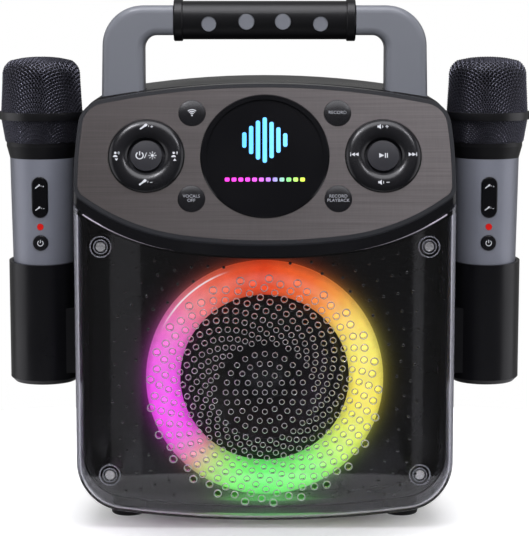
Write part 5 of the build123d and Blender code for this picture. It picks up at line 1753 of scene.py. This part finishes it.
LIGHTS = (
    Softbox("top_box", (0, -350, 1400), (0, 0, 150), (1200, 900), 14, fill=True),
    Softbox("front_box", (0, -1500, 760), (0, 0, 150), (1500, 1100), 15, mirror=False, fill=True),
    Softbox("left_wall", (-1150, -150, 350), (0, -60, 150), (1000, 1300), 4.6),
    Softbox("right_wall", (1150, -150, 350), (0, -60, 150), (1000, 1300), 4.6),
    Softbox("left_band", (-170, -1300, -117), (-170, 0, -117), (38, 350), 0.009),
    Softbox("right_band", (195, -1300, -117), (195, 0, -117), (13, 350), 0.0045),
    Softbox("glint_left", (-420, -520, 1350), (0, -40, 200), (200, 200), 4.0),
    Softbox("glint_right", (520, -620, 1150), (0, -40, 200), (140, 140), 1.6),
)


@dataclass
class Studio:
    """Pale floor, white surroundings, soft lights and the camera."""

    lens: float = 134.33
    pitch: float = 7.918
    yaw: float = -0.16
    eye: tuple[float, float, float] = (-3.7, -1324.4, 340.9)
    floor_reach: float = 0.27
    floor_wide: float = 1.65
    floor_back: float = 0.04
    floor_sides: int = 72
    shade_glow: float = 0.05
    shade_start: float = 0.04
    shade_reach: float = 0.155
    shade_wide: float = 1.3
    shade_back: float = -0.07
    room_front: float = 0.08
    room_back: float = 0.24
    room_span: Point = (-0.45, 0.5)

    def camera(self) -> None:
        """Places the camera."""
        view = bpy.data.cameras.new("camera")
        view.sensor_fit = "VERTICAL"
        view.sensor_height = 36.0
        view.lens = self.lens
        carrier = bpy.data.objects.new("camera", view)
        carrier.location = Vector(self.eye) * MM
        carrier.rotation_euler = (math.radians(90 - self.pitch), 0.0, math.radians(self.yaw))
        bpy.context.scene.collection.objects.link(carrier)
        bpy.context.scene.camera = carrier

    def surroundings(self) -> None:
        """White to the eye and behind glass, with a darker front for reflections."""
        world = bpy.data.worlds.new("studio")
        bpy.context.scene.world = world
        world.use_nodes = True
        world.node_tree.nodes.clear()
        nodes = Nodes(world.node_tree)
        path = nodes.node("ShaderNodeLightPath").outputs
        _, deep, _ = nodes.parts(nodes.node("ShaderNodeTexCoord").outputs["Generated"])
        front = nodes.spread(deep, self.room_front, self.room_back, *self.room_span)
        room = nodes.node("ShaderNodeBackground", Color=WHITE, Strength=front)
        white = nodes.node("ShaderNodeBackground", Color=WHITE, Strength=1.0)
        bounced = nodes.math("ADD", path["Glossy Depth"], path["Diffuse Depth"])
        through = nodes.math("MULTIPLY", path["Is Transmission Ray"], bounced.join("LESS_THAN", 0.5))
        both = nodes.node("ShaderNodeMixShader", None, {1: room.outputs[0], 2: white.outputs[0]},
                          Fac=nodes.math("MAXIMUM", path["Is Camera Ray"], through))
        nodes.node("ShaderNodeOutputWorld", Surface=both.outputs[0])

    def floor(self) -> None:
        """The pale floor, which keeps the object's shadow; its glow to the eye fades near the body, which lets that
        shadow show and also paints a faint grey shade round the body.
        """
        shader = Shader("pale_floor")
        across, deep, _ = shader.parts(shader.place)
        wide, deep = across / self.shade_wide, deep - self.shade_back
        seen = shader.node("ShaderNodeLightPath").outputs["Is Camera Ray"]
        # painted shade: the glow is low round the body and rises to white further out
        glow_outside_painted_shade = shader.spread((wide * wide + deep * deep).join("SQRT"), self.shade_glow, 1.0, self.shade_start,
                             self.shade_reach, smooth=True)
        shader.set(
            Base_Color=shader.blend(shader.noise(0.4, 2), (0.80, 0.80, 0.80), (0.84, 0.84, 0.84)),
            Roughness=0.9,
            Specular_IOR_Level=0.1,
            Emission_Color=WHITE,
            Emission_Strength=shader.math("MULTIPLY", seen, glow_outside_painted_shade),
        )
        mesh = bpy.data.meshes.new("floor")
        turns = [turn * math.pi / (self.floor_sides / 2) for turn in range(self.floor_sides)]
        rim = [(self.floor_reach * self.floor_wide * math.cos(turn),
                self.floor_back + self.floor_reach * math.sin(turn), 0.0) for turn in turns]
        mesh.from_pydata(rim, [], [tuple(range(self.floor_sides))])
        add_object("floor", mesh, shader.material)

    def build(self) -> None:
        """Sets up the studio."""
        bpy.context.scene.view_settings.view_transform = "Standard"
        self.camera()
        self.surroundings()
        self.floor()
        for light in LIGHTS:
            light.build()


def main() -> None:
    """Builds every sub-assembly in order."""
    logging.basicConfig(level=logging.INFO, format="%(message)s")
    for part in (Studio(), Housing(), LitChannel(), PerforatedCover(middle("light_ring")), ControlPanel(),
                 Microphone("left"), Microphone("right")):
        LOG.info("building %s", type(part).__name__)
        part.build()


if __name__ == "__main__":
    main()
